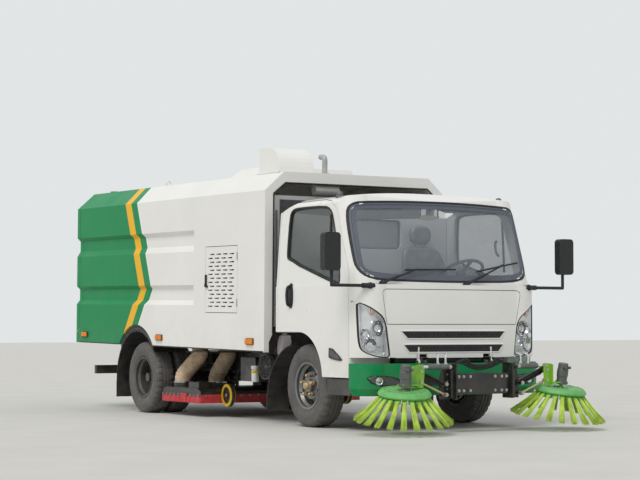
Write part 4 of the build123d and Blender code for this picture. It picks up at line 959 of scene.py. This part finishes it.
def build_cab_trim():
    """Door handles, side lamps, mirror glass, steps and wheel arch lips."""
    handle = Kit()
    plate = rounded(mm([(-225, 1076), (-140, 1076), (-140, 1304), (-225, 1304)]), 2)
    handle.slab([side_of(u, v, -0.003) for u, v in plate], (0, 0.011, 0))
    grip = mm([(-200, 1100, 4), (-202, 1115, 26), (-203, 1190, 34), (-202, 1262, 26), (-200, 1280, 4)])
    handle.tube(smooth_path([side_of(*spot) for spot in grip], 6), 0.013, 12)
    handle.both("door_handle_{}", "plastic", "door_{}", bevel=0.003)
    lamp = Kit()
    outline = rounded(mm([(505, 746), (735, 622), (700, 606), (508, 630), (498, 648)]), 1)
    lamp.slab([side_of(u, v, -0.004) for u, v in outline], (0, 0.012, 0))
    lamp.both("side_lamp_{}", "plastic", "door_{}", bevel=0.002)
    lens = Kit()
    lens.slab([side_of(u, v, 0.006) for u, v in rounded(mm([(518, 724), (724, 618), (526, 636)]), 1)],
              (0, 0.005, 0))
    lens.both("side_lamp_lens_{}", "lens", "door_{}", bevel=0.002)
    mirror = Kit()
    face = rounded(mm([(1184, 1403), (1320, 1403), (1320, 1693), (1184, 1693)]), 2)
    mirror.slab([(0.957, y, z) for y, z in face], (-0.005, 0, 0))
    mirror.both("mirror_glass_{}", "mirror", "cab")
    line = Kit()
    flap = mm([(-683, 931), (683, 931), (700, 1000), (732, 1190), (729, 1215), (700, 1230), (-700, 1230),
               (-729, 1215), (-732, 1190), (-700, 1000)])
    edge_ring(line, divided(flap, 0.06), lower, mm([(-4.5, -4), (0, -4), (0, -18), (-4.5, -18)]))
    line.done("flap_seal", "rubber", "cab")
    foot = Kit()
    foot.rod((0.985, 0.845, 1.262), (0.985, 0.875, 1.262), 0.030, 20, 0.022)
    foot.both("mirror_foot_{}", "plastic", "cab")
    lip = Kit()
    arch = [(-0.455, 0.866), (-0.2, 0.866)]
    arch += [on_circle((-0.042, 0.442), 0.424, 90 - 87 * i / 16) for i in range(17)]
    lip.tube([(x, 0.966, z) for x, z in arch], 0.009, 8)
    lip.both("arch_lip_{}", "cab", "cab")
    tread_plate = Kit()
    for i in range(9):
        tread_plate.box((0.48 + 0.038 * i, 0.50 + 0.038 * i), (0.79, 0.93), (0.329, 0.334))
    tread_plate.both("step_treads_{}", "plastic", "chassis", bevel=0.001)
    recess = Kit()
    outline = rounded(mm([(922, 490), (690, 484), (580, 452), (604, 394), (852, 396)]), 1)
    patch(recess, divided(outline, 0.04), bumper_face, 0.0012, 4)
    recess.both("fog_recess_{}", "rubber", "chassis")
    fog = Kit()
    outline = divided(rounded(mm([(904, 479), (700, 473), (602, 447), (618, 405), (840, 408)]), 1), 0.04)
    patch(fog, outline, bumper_face, 0.007, 4)
    edge_ring(fog, outline, bumper_face, mm([(0, 7), (-4, 1), (4, -6)]))
    fog.both("fog_lamp_{}", "lens", "chassis")
    bowl = Kit()
    bowl.lathe(mm([(31, 2), (34, 4), (35, -1), (0.5, -3), (0.5, 0), (28, 0)]),
               bumper_face(0.800, 0.440, 0.003), axis=(1, 0.2, 0), steps=28)
    bowl.both("fog_bowl_{}", "chrome", "chassis")


def build_cab_inside():
    """Seats with their covers, handles, the inner mirror, a headrest and sun visors."""
    for name, centre_y, half, top in (("driver", 0.525, 0.240, 1.690), ("passenger", -0.43, 0.30, 1.600)):
        kit = Kit()
        rows = []
        # x, z of the seat's skin from the front edge up to the top of the back, and its thickness below
        line = mm([(245, 950), (262, 1060), (235, 1118), (100, 1135), (-80, 1118), (-200, 1135),
                   (-225, 1200), (-235, 1400), (-262, 1600), (-285, 1690), (-330, 1700), (-358, 1640),
                   (-362, 1300), (-366, 1050), (-240, 930), (100, 920)])
        line = [(x, z if z < 1.2 else 1.2 + (z - 1.2) * (top - 1.2) / 0.5) for x, z in line]
        for i in range(9):
            t = 2 * i / 8 - 1
            pull = 1 - 0.16 * abs(t) ** 5
            rows.append([(-0.06 + (x + 0.06) * pull, centre_y + half * t * 0.97, 1.25 + (z - 1.25) * pull)
                         for x, z in line])
        kit.rings(rows, caps=True)
        seat = kit.done(name + "_seat", "seat", "cab", sharp=80)
        soft = seat.modifiers.new("soft", "SUBSURF")
        soft.levels = 1
        soft.render_levels = 1
        if name == "driver":
            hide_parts("seats")
    fittings = Kit()
    for grip in ([(600, -800, 1600), (570, -770, 1630), (520, -770, 1750), (500, -800, 1780)],
                 [(600, 800, 1560), (600, 770, 1590), (580, 770, 1670), (560, 800, 1700)]):
        fittings.tube(smooth_path(mm(grip), 5), 0.012, 10)
    fittings.rod((0.51, 0.078, 1.915), (0.52, 0.078, 2.00), 0.008, 10)
    for y in (0.465, 0.585):
        fittings.rod((-0.308, y, 1.62), (-0.306, y, 1.74), 0.007, 10)
    fittings.done("cab_fittings", "trim", "cab", bevel=0.003)
    inner = Kit()
    face = rounded(mm([(-20, 1875), (176, 1875), (176, 1923), (-20, 1923)]), 2)
    inner.slab([(0.500, y, z) for y, z in face], (0.016, 0, 0))
    inner.done("inner_mirror", "beige", "cab", bevel=0.003)
    rest = Kit()
    outline = rounded(mm([(400, 1695), (650, 1695), (640, 1888), (410, 1888)]), 2)
    rest.rings([[(x, y, z) for y, z in inset(outline, shrink)] for x, shrink in
                mm([(-342, 30), (-334, 8), (-310, 0), (-290, 4), (-276, 14), (-270, 36)])],
               caps=True)
    headrest = rest.done("driver_headrest", "seat", "cab", sharp=80)
    visors = Kit()
    for y in (-0.45, 0.45):
        visors.box((0.40, 0.56), (y - 0.22, y + 0.22), (1.965, 1.980), Matrix.Rotation(0.25, 4, "Y"),
                   (0.48, y, 1.97))
    visors.done("sun_visors", "trim", "cab", bevel=0.005)


# Body

# Length of a slot in the louvred door
LOUVRE_LENGTH = 0.092
# How far the side markers' bases and lamps stand out of the sweeper body
SIDE_FACE = (BODY_HALF, BODY_HALF + 0.008)
MARKER_FACE = (BODY_HALF + 0.006, BODY_HALF + 0.026)


def louvre_rows():
    """Each slot's low x and low z on the louvred door."""
    for row in range(14):
        first = -1.840 + (0.060 if row % 2 else 0.096)
        for i in range(4):
            yield first + 0.138 * i, 1.596 - 0.0392 * row


def build_body_trim():
    """Side markers, louvre lips, hinges, door handle, rear lamps and roof details."""
    lamps = Kit()
    holders = Kit()
    for x in (-4.824, -2.882, -0.897):
        holders.box((x - 0.074, x + 0.074), SIDE_FACE, (0.724, 0.786))
        lamps.box((x - 0.068, x - 0.003), MARKER_FACE, (0.730, 0.780))
        lamps.box((x + 0.003, x + 0.068), MARKER_FACE, (0.730, 0.780))
    lamps.both("side_marker_{}", "amber", "body", bevel=0.006)
    holders.both("side_marker_base_{}", "plastic", "body")
    lips = Kit()
    section = mm([(-1, 11), (5, 6), (3.5, 5), (-4, 9)])
    for x, z in louvre_rows():
        lips.slab([(x - 0.002, BODY_HALF + out, z + rise) for out, rise in section],
                  (LOUVRE_LENGTH + 0.004, 0, 0))
    lips.both("louvre_lips_{}", "body", "louvre_door_{}")
    shade = Kit()
    shade.box((-1.815, -1.195), (BODY_HALF - 0.050, BODY_HALF - 0.044), (1.05, 1.64))
    shade.both("louvre_back_{}", "rubber", "louvre_door_{}")
    handle = Kit()
    handle.box((-1.822, -1.804), (BODY_HALF, BODY_HALF + 0.020), (1.285, 1.395))
    handle.box((-1.822, -1.782), (BODY_HALF, BODY_HALF + 0.016), (1.268, 1.286))
    handle.rod((-1.813, BODY_HALF, 1.29), (-1.813, BODY_HALF + 0.024, 1.29), 0.014, 16)
    handle.both("louvre_handle_{}", "plastic", "louvre_door_{}", bevel=0.003)
    hinges = Kit()
    for z in (1.12, 1.57):
        hinges.rod((-1.167, BODY_HALF + 0.004, z - 0.035), (-1.167, BODY_HALF + 0.004, z + 0.035), 0.0065, 12)
    hinges.both("louvre_hinges_{}", "steel", "body")
    strip = Kit()
    strip.box((-0.612, -0.588), (0.900, 0.922), (1.10, 1.99))
    strip.both("post_strip_{}", "grey", "body", bevel=0.006)
    hem = Kit()
    for x0, x1 in mm([(-4985, -3905), (-3035, -640)]):
        hem.box((x0, x1), (BODY_HALF - 0.001, BODY_HALF + 0.002), (0.6605, 0.671))
    hem.both("body_hem_{}", "rubber", "body")
    seal = Kit()
    edge = mm([(926, 838), (926, 2150), (802, 2252), (-802, 2252), (-926, 2150), (-926, 838)])
    seal.tube([(-0.624, y, z) for y, z in edge], 0.008, 8)
    seal.done("portal_seal", "rubber", "body")
    recess = Kit()
    recess.box((-0.732, -0.728), (-0.80, 0.80), (0.95, 2.10))
    recess.done("portal_panel", "trim", "body")

    rear = Kit()
    clusters = ((0.665, 0.735, "red_lens"), (0.740, 0.800, "amber"), (0.805, 0.875, "red_lens"))
    for low_y, high_y, look in clusters:
        lens = Kit()
        lens.box((-4.745, -4.729), (low_y, high_y), (0.402, 0.464))
        lens.both("rear_lamp_%d_{}" % round(low_y * 1000), look, "chassis", bevel=0.005)
    for z in (0.95, 1.50, 2.05):
        rear.box((-5.0865, -5.080), (-0.93, 0.93), (z - 0.018, z + 0.018))
    rear.done("tailgate_ribs", "body", "tailgate", bevel=0.003)
    latch = Kit()
    for y in (-0.86, 0.86):
        latch.box((-5.06, -5.0), (y * 1.165, y * 1.165 + math.copysign(0.016, y)), (0.76, 0.82))
        latch.rod((-5.03, y * 1.17, 0.79), (-5.03, y * 1.195, 0.79), 0.014, 14)
    latch.done("tailgate_latches", "steel", "tailgate", bevel=0.003)
    pane = Kit()
    pane.lathe(mm([(0.5, 80), (36, 77), (56, 68), (62.5, 58), (62.5, -20), (0.5, -20)]), (-4.690, 0, 2.385),
               axis=UP, steps=30)
    pane.done("beacon_lens", "amber", "body")
    flange = Kit()
    for x, y0, y1 in mm([(-1160, -822, -802), (-1160, -430, -410), (-725, -822, -410)]):
        flange.box((x, -0.705), (y0, y1), (2.357, 2.363))
    for i in range(6):
        for y in (-0.812, -0.420):
            flange.bolt((-1.13 + 0.08 * i, y, 2.363), UP, 0.005, 0.004)
    flange.done("hood_flange", "white", "body")
    bars = Kit()
    for i in range(9):
        y = -0.780 + 0.041 * i
        bars.rod((-1.110, y, 2.360), (-1.110, y, 2.590), 0.0035, 8)
    for i in range(5):
        bars.rod((-1.110, -0.785, 2.395 + 0.045 * i), (-1.110, -0.447, 2.395 + 0.045 * i), 0.0035, 8)
    bars.done("hood_grille", "steel", "body")


# Sweeping gear

BRUSH_AT = Vector((1.479, 0.820, 0.345))
BRUSH_TURN = Matrix.Rotation(math.radians(8.2), 4, "Y") @ Matrix.Rotation(math.radians(-2.3), 4, "X")


def build_brushes():
    """Brush discs with their clamp ring and fans of many bristles."""
    place = Matrix.Translation(BRUSH_AT) @ BRUSH_TURN
    axis = BRUSH_TURN @ Vector((0, 0, 1))
    disc = Kit()
    disc.lathe(mm([(16, 30), (150, 32), (196, 36), (206, 30), (224, 10), (229, -4), (222, -16),
                   (198, -19), (16, -19)]), BRUSH_AT, axis=axis, steps=72)
    disc.both("brush_disc_{}", "disc", "brush_{}", replaces=["brush_{}"])
    hub = Kit()
    hub.lathe(mm([(20, 42), (40, 42), (46, 36), (70, 34), (70, 29), (20, 29)]),
              BRUSH_AT, axis=axis, steps=36)
    # Number, circle's radius, first angle, height, and the bolt's radius and height
    for count, radius, first, height, size, head in ((4, 0.055, 45, 0.035, 0.008, 0.007),
                                                     (11, 0.175, 180 / 11, 0.034, 0.006, 0.005)):
        for i in range(count):
            spot = on_circle((0, 0), radius, first + 360 * i / count)
            hub.bolt(place @ Vector((*spot, height)), axis, size, head)
    hub.both("brush_hub_{}", "steel", "brush_{}")
    tufts = Kit()
    for i in range(22):
        turn = Matrix.Rotation(2 * math.pi * i / 22, 4, "Z")
        for j in range(44):
            row = j % 3
            across = (j / 43 - 0.5)
            root = Vector((0.192 + 0.005 * row, across * 0.026, -0.016))
            fall = -0.228 + random.uniform(-0.006, 0.012)
            reach = 0.400 + 0.009 * row + random.uniform(-0.012, 0.006)
            side = across * 0.050 + random.uniform(-0.003, 0.003)
            mid = Vector((0.286 + 0.007 * row, across * 0.036, -0.120 + random.uniform(-0.005, 0.005)))
            tip = Vector((reach, side, fall))
            run = [place @ turn @ p for p in (root, mid, tip)]
            tufts.tube(run, 0.0021, 4)
    tufts.both("brush_bristles_{}", "bristle", "brush_{}", sharp=180)
    sockets = Kit()
    for i in range(22):
        turn = Matrix.Rotation(2 * math.pi * i / 22, 4, "Z")
        ends = []
        for r, z, w, h in ((0.184, -0.014, 0.022, 0.010), (0.214, -0.044, 0.024, 0.011)):
            ends.append([place @ turn @ Vector(p) for p in ((r - h, -w, z - h), (r + h, -w, z + h * 0.4),
                                                            (r + h, w, z + h * 0.4), (r - h, w, z - h))])
        sockets.rings(ends, caps=True)
    sockets.both("brush_sockets_{}", "disc", "brush_{}")


def build_sweeper_trim():
    """Motors, fittings, bolts and the hydraulic hoses."""
    axis = BRUSH_TURN @ Vector((0, 0, 1))
    motor = Kit()
    motor.lathe(mm([(0.5, 246), (38, 246), (44, 240), (46, 190), (50, 188), (50, 130), (46, 128),
                    (46, 85), (56, 83), (56, 62), (0.5, 62)]), BRUSH_AT, axis=axis,
                steps=30)
    top = BRUSH_AT + axis * 0.20
    for y in (-0.022, 0.022):
        motor.rod(top + Vector((0, y, 0)), top + Vector((0.075, y, 0.004)), 0.013, 8)
    motor.both("brush_motor_{}", "cast", "brush_carrier_{}", bevel=0.002)
    bolts = Kit()
    for y in (0.310, 0.335):
        for z in (0.325, 0.375, 0.44, 0.50):
            bolts.bolt((1.406, y, z), AHEAD, 0.009, 0.008)
    for z in (0.36, 0.48):
        for y in (0.13, 0.20, 0.25):
            bolts.bolt((1.450, y, z), AHEAD, 0.010, 0.009)
    for y, z in mm([(400, 420), (362, 567), (400, 330)]):
        bolts.bolt((1.486, y, z), AHEAD, 0.013, 0.009)
    bolts.both("sweeper_bolts_{}", "steel", "chassis")
    eye_bolts = Kit()
    for y, z in mm([(662, 530), (653, 567), (662, 440)]):
        eye_bolts.bolt((1.492, y, z), AHEAD, 0.011, 0.009)
    eye_bolts.both("carrier_bolts_{}", "steel", "brush_carrier_{}")
    fittings = Kit()
    for y in (0.395, 0.475):
        fittings.tube(smooth_path([(1.462, y, 0.590), (1.462, y, 0.650), (1.455, y - 0.012, 0.672),
                                   (1.430, y - 0.02, 0.672)], 4), 0.010, 10)
        fittings.rod((1.462, y, 0.586), (1.462, y, 0.602), 0.015, 6)
    fittings.both("lift_fittings_{}", "chrome", "lift_barrel_{}")
    hoses = Kit()
    for y, drop in mm([(300, 0), (260, 16), (220, 30)]):
        hoses.tube(smooth_path([(1.430, y, 0.585 + drop), (1.436, y * 0.72, 0.600 + drop),
                                (1.430, 0.10, 0.560 + drop), (1.424, 0.0, 0.545 + drop),
                                (1.426, -0.10, 0.556 + drop),
                                (1.430, -y * 0.72, 0.598 + drop), (1.430, -y, 0.585 + drop)], 8), 0.0095, 10)
    hoses.tube(smooth_path(mm([(1420, 300, 570), (1360, 280, 620), (1260, 240, 600), (1160, 200, 550),
                               (1060, 180, 540)]), 8), 0.011, 10)
    hoses.done("sweeper_hoses", "rubber", "chassis", sharp=80)
    arm_hose = Kit()
    for down in (0, 0.022):
        arm_hose.tube(smooth_path([(1.441, y, z - down) for y, z in
                                   mm([(425, 434), (500, 466), (580, 500), (635, 522)])], 8), 0.0085, 10)
    arm_hose.both("arm_hoses_{}", "rubber", "brush_arm_{}", sharp=80)


# Suction gear and chassis details

# Places of the suction hoses' feet on the nozzle and of their tops, each (x, y)
HOSE_FEET = mm([(-2775, -785), (-2530, -520)])
HOSE_TOPS = mm([(-2640, -665), (-2365, -478)])
CASTER_AT = (-1.955, 0.690, 0.222)
COOLER_AT = (-0.950, -0.820, 0.530)
FILTER_AT = (-1.118, -0.836)


def build_nozzle_trim():
    """Ribbed hoses, clamps, skirt straps, bolts and the casters' rims."""
    for k, ((fx, fy), (tx, ty)) in enumerate(zip(HOSE_FEET, HOSE_TOPS)):
        route = smooth_path([(fx, fy, 0.278), (fx, fy, 0.40), ((fx + tx) / 2, (fy + ty) / 2, 0.512),
                             (tx, ty, 0.620), (tx, ty, 0.706)], 40)
        kit = Kit()
        kit.tube(route, 0.083, 40, ribs=(42, 0.0020))
        # The second hose gets the darker copy of the tan colour, as painted shade.
        hose = kit.done("suction_hose_%d" % (k + 1), "tan" if k == 0 else "shaded_tan", "chassis", sharp=80,
                        replaces=["suction_hoses"] if k == 0 else ())
        hose.parent = None
        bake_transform(hose)
        clamp = Kit()
        clamp.lathe(mm([(83, 0), (104.5, 0), (104.5, 14), (83, 14)]), (fx, fy, 0.332), axis=UP,
                    steps=40)
        clamp.done("hose_clamp_%d" % (k + 1), "steel", "nozzle")
    straps = Kit()
    straps.box((-2.955, -2.085), (0.938, 0.942), (0.206, 0.226))
    straps.both("skirt_strap_{}", "black", "nozzle", bevel=0.001)
    bolts = Kit()
    for i in range(10):
        bolts.bolt((-2.93 + 0.09 * i, 0.942, 0.216), LEFT, 0.008, 0.006)
    for i in range(9):
        bolts.bolt((-2.075, 0.08 + 0.10 * i, 0.216), AHEAD, 0.008, 0.006)
    bolts.both("skirt_bolts_{}", "steel", "nozzle")
    flaps = Kit()
    for i in range(4):
        x = -2.955 + 0.22 * i
        flaps.box((x, x + 0.20), (0.9375, 0.943), (0.142, 0.206))
    flaps.box((-2.50, -2.385), (0.940, 0.956), (0.146, 0.236))
    flaps.both("skirt_flaps_{}", "red", "nozzle", bevel=0.003)
    rim = Kit()
    rim.lathe(mm([(100, -30), (113, -26), (115, -14), (115, 8), (112, 20), (100, 23.5), (84, 23.5),
                  (84, 12), (98, 10), (98, -20)]), CASTER_AT)
    rim.both("caster_rim_{}", "yellow", "caster_{}")
    hub = Kit()
    x, y, z = CASTER_AT
    hub.rod((x, y + 0.009, z), (x, y + 0.026, z), 0.024)
    hub.bolt((x, y + 0.026, z), LEFT, 0.011, 0.008)
    hub.both("caster_hub_{}", "steel", "caster_{}")


def build_chassis_trim():
    """Washer bottle, oil cooler and its fan, filter, U-bolts, rear guard lips, pipes and straps."""
    bottle = Kit()
    outline = rounded(mm([(-875, 610), (-775, 610), (-725, 825), (-835, 832)]), 1)
    bottle.slab([(x, -0.745, z) for x, z in outline], (0, 0.10, 0))
    bottle.rod((-0.80, -0.695, 0.825), (-0.80, -0.695, 0.850), 0.028, 20)
    bottle.done("washer_bottle", "bottle", "chassis", bevel=0.012)
    bracket = Kit()
    bracket.box((-0.86, -0.70), (-0.76, -0.37), (0.592, 0.602))
    bracket.box((-0.87, -0.85), (-0.76, -0.70), (0.592, 0.70))
    bracket.done("bottle_bracket", "frame", "chassis", bevel=0.002)
    guard = Kit()
    x, y, z = COOLER_AT
    for r in (0.112, 0.088, 0.064, 0.040):
        guard.lathe([(r, -0.003), (r + 0.004, 0.0), (r, 0.003), (r - 0.003, 0.0)], COOLER_AT,
                    axis=(0, -1, 0), steps=40)
    for i in range(10):
        near, far = (on_circle((x, z), r, 36 * i) for r in (0.02, 0.114))
        guard.rod((near[0], y, near[1]), (far[0], y, far[1]), 0.003, 6)
    guard.lathe(mm([(116, 6), (122, 6), (122, -50), (116, -50)]), COOLER_AT, axis=(0, -1, 0))
    guard.rod((x, y + 0.004, z), (x, y + 0.05, z), 0.026)
    guard.done("cooler_guard", "cast", "chassis")
    core = Kit()
    core.box((-1.07, -0.83), (-0.77, -0.70), (0.41, 0.65))
    core.box((-1.0, -0.90), (-0.71, -0.36), (0.50, 0.55))
    core.done("oil_cooler", "black", "chassis", bevel=0.003)
    blades = Kit()
    for i in range(7):
        turn = Matrix.Rotation(2 * math.pi * i / 7, 4, "Y") @ Matrix.Rotation(0.5, 4, "Z")
        blades.box((x - 0.017, x + 0.017), (-0.803, -0.800), (z + 0.020, z + 0.106), turn, (x, -0.80, z))
    blades.done("cooler_fan", "plastic", "chassis")
    filters = Kit()
    filters.lathe(mm([(0.5, 125), (30, 122), (36, 112), (36, 10), (30, 0), (0.5, 0)]),
                  (*FILTER_AT, 0.380), axis=UP, steps=28)
    filters.lathe(mm([(0.5, 30), (42, 30), (42, 0), (0.5, 0)]), (*FILTER_AT, 0.505), axis=UP, steps=28)
    filters.box((-1.14, -1.10), (-0.836, -0.78), (0.50, 0.53))
    filters.done("oil_filter", "bright", "chassis")
    band = Kit()
    band.lathe(mm([(36.5, 0), (37.5, 4), (37.5, 26), (36.5, 30)]), (*FILTER_AT, 0.462), axis=UP, steps=28)
    band.done("filter_band", "yellow", "chassis")
    clips = Kit()
    for x, y, z, down in ((0.0, 0.370, 0.405, 0.13), (-WHEELBASE, 0.460, 0.500, 0.20)):
        for dx in (-0.05, 0.05):
            for dy in (-0.042, 0.042):
                clips.rod((x + dx, y + dy, z), (x + dx, y + dy, z - down), 0.008, 10)
            clips.box((x + dx - 0.012, x + dx + 0.012), (y - 0.052, y + 0.052), (z - 0.006, z + 0.006))
    clips.both("spring_clips_{}", "frame", "chassis", bevel=0.002)
    lips = Kit()
    lines = Kit()

    def arc(middle, radius, y):
        """The rear wheel guard's arc at a distance from the truck's middle."""
        places = [on_circle(middle, radius, 38 + 104 * i / 24) for i in range(25)]
        return [(x, y, z) for x, z in places]

    outer = (-3.464, 0.402)
    inner = (-3.470, 0.350)
    lips.rings([arc(outer, 0.523, 0.999), arc(outer, 0.523, 0.991), arc(inner, 0.515, 0.991),
                arc(inner, 0.515, 0.999)], close_loop=False, closed=True)
    for radius in (0.523, 0.490):
        lines.tube(arc(outer, radius, 1.000), 0.004, 8)
    lips.both("rear_guard_lip_{}", "plastic", "chassis")
    lines.both("rear_guard_edges_{}", "cast", "chassis")
    pipes = Kit()
    for k in range(3):
        y = 0.352 - 0.002 * k
        z = 0.545 + 0.022 * k
        pipes.tube([(-2.10, y, z), (-1.3, y, z), (-0.2, y, z), (0.75, y, z)], 0.005, 8)
    pipes.both("frame_pipes_{}", "steel", "chassis")
    straps = Kit()
    for x in (-1.36, -0.90):
        straps.box((x - 0.018, x + 0.018), (0.438, 0.823), (0.618, 0.623))
        straps.box((x - 0.018, x + 0.018), (0.820, 0.824), (0.38, 0.58))
    straps.box((-0.98, -0.90), (0.60, 0.68), (0.620, 0.640))
    straps.done("tank_straps", "steel", "chassis", bevel=0.002)


# Stage

# The photograph's camera: its place, degrees upwards and compass heading, and its lens
CAMERA_AT = (14.241, -9.154, 0.895)
CAMERA_UP = 2.781
CAMERA_HEADING = 149.520
CAMERA_LENS = 102.05


def build_stage():
    """Pale floor, soft light and the camera at the photograph's place."""
    mesh = bpy.data.meshes.new("floor")
    reach = 90.0
    mesh.from_pydata([(-reach, -reach, 0), (reach, -reach, 0), (reach, reach, 0), (-reach, reach, 0)], [],
                     [(0, 1, 2, 3)])
    floor = bpy.data.objects.new("floor", mesh)
    bpy.context.scene.collection.objects.link(floor)
    s = Shade("floor", srgb(212, 210, 204), 0.9)
    s.uneven(0.06, 1.5)
    mesh.materials.append(s.mat)

    world = bpy.data.worlds.new("sky")
    bpy.context.scene.world = world
    world.use_nodes = True
    tree = world.node_tree
    back = tree.nodes["Background"]
    back.inputs["Color"].default_value = (0.93, 0.96, 1.0, 1)
    back.inputs["Strength"].default_value = 0.62
    seen = tree.nodes.new("ShaderNodeBackground")
    seen.inputs["Color"].default_value = srgb(226, 229, 230)
    seen.inputs["Strength"].default_value = 1.0
    path = tree.nodes.new("ShaderNodeLightPath")
    either = tree.nodes.new("ShaderNodeMath")
    either.operation = "MAXIMUM"
    tree.links.new(path.outputs["Is Camera Ray"], either.inputs[0])
    tree.links.new(path.outputs["Is Glossy Ray"], either.inputs[1])
    blend = tree.nodes.new("ShaderNodeMixShader")
    tree.links.new(either.outputs[0], blend.inputs[0])
    tree.links.new(back.outputs[0], blend.inputs[1])
    tree.links.new(seen.outputs[0], blend.inputs[2])
    tree.links.new(blend.outputs[0], tree.nodes["World Output"].inputs[0])

    sun = bpy.data.lights.new("sun", "SUN")
    sun.energy = 1.5
    sun.angle = math.radians(25)
    sun.color = (1.0, 0.975, 0.94)
    sun_obj = bpy.data.objects.new("sun", sun)
    sun_obj.rotation_euler = Vector((0.35, -0.55, 0.80)).to_track_quat("Z", "Y").to_euler()
    bpy.context.scene.collection.objects.link(sun_obj)

    cam = bpy.data.cameras.new("camera")
    cam.sensor_width = 36.0
    cam.lens = CAMERA_LENS
    cam.clip_end = 300.0
    camera = bpy.data.objects.new("camera", cam)
    camera.location = Vector(CAMERA_AT) + Vector((AXLE_X, 0, 0))
    camera.rotation_euler = (math.radians(90 + CAMERA_UP), 0.0, math.radians(CAMERA_HEADING - 90))
    bpy.context.scene.collection.objects.link(camera)
    bpy.context.scene.camera = camera
    bpy.context.scene.view_settings.view_transform = "Standard"


dress_frame()
build_wheels()
build_glass_edges()
build_wipers()
build_headlights()
build_grille()
build_cab_trim()
build_cab_inside()
build_body_trim()
build_brushes()
build_sweeper_trim()
build_nozzle_trim()
build_chassis_trim()
build_stage()
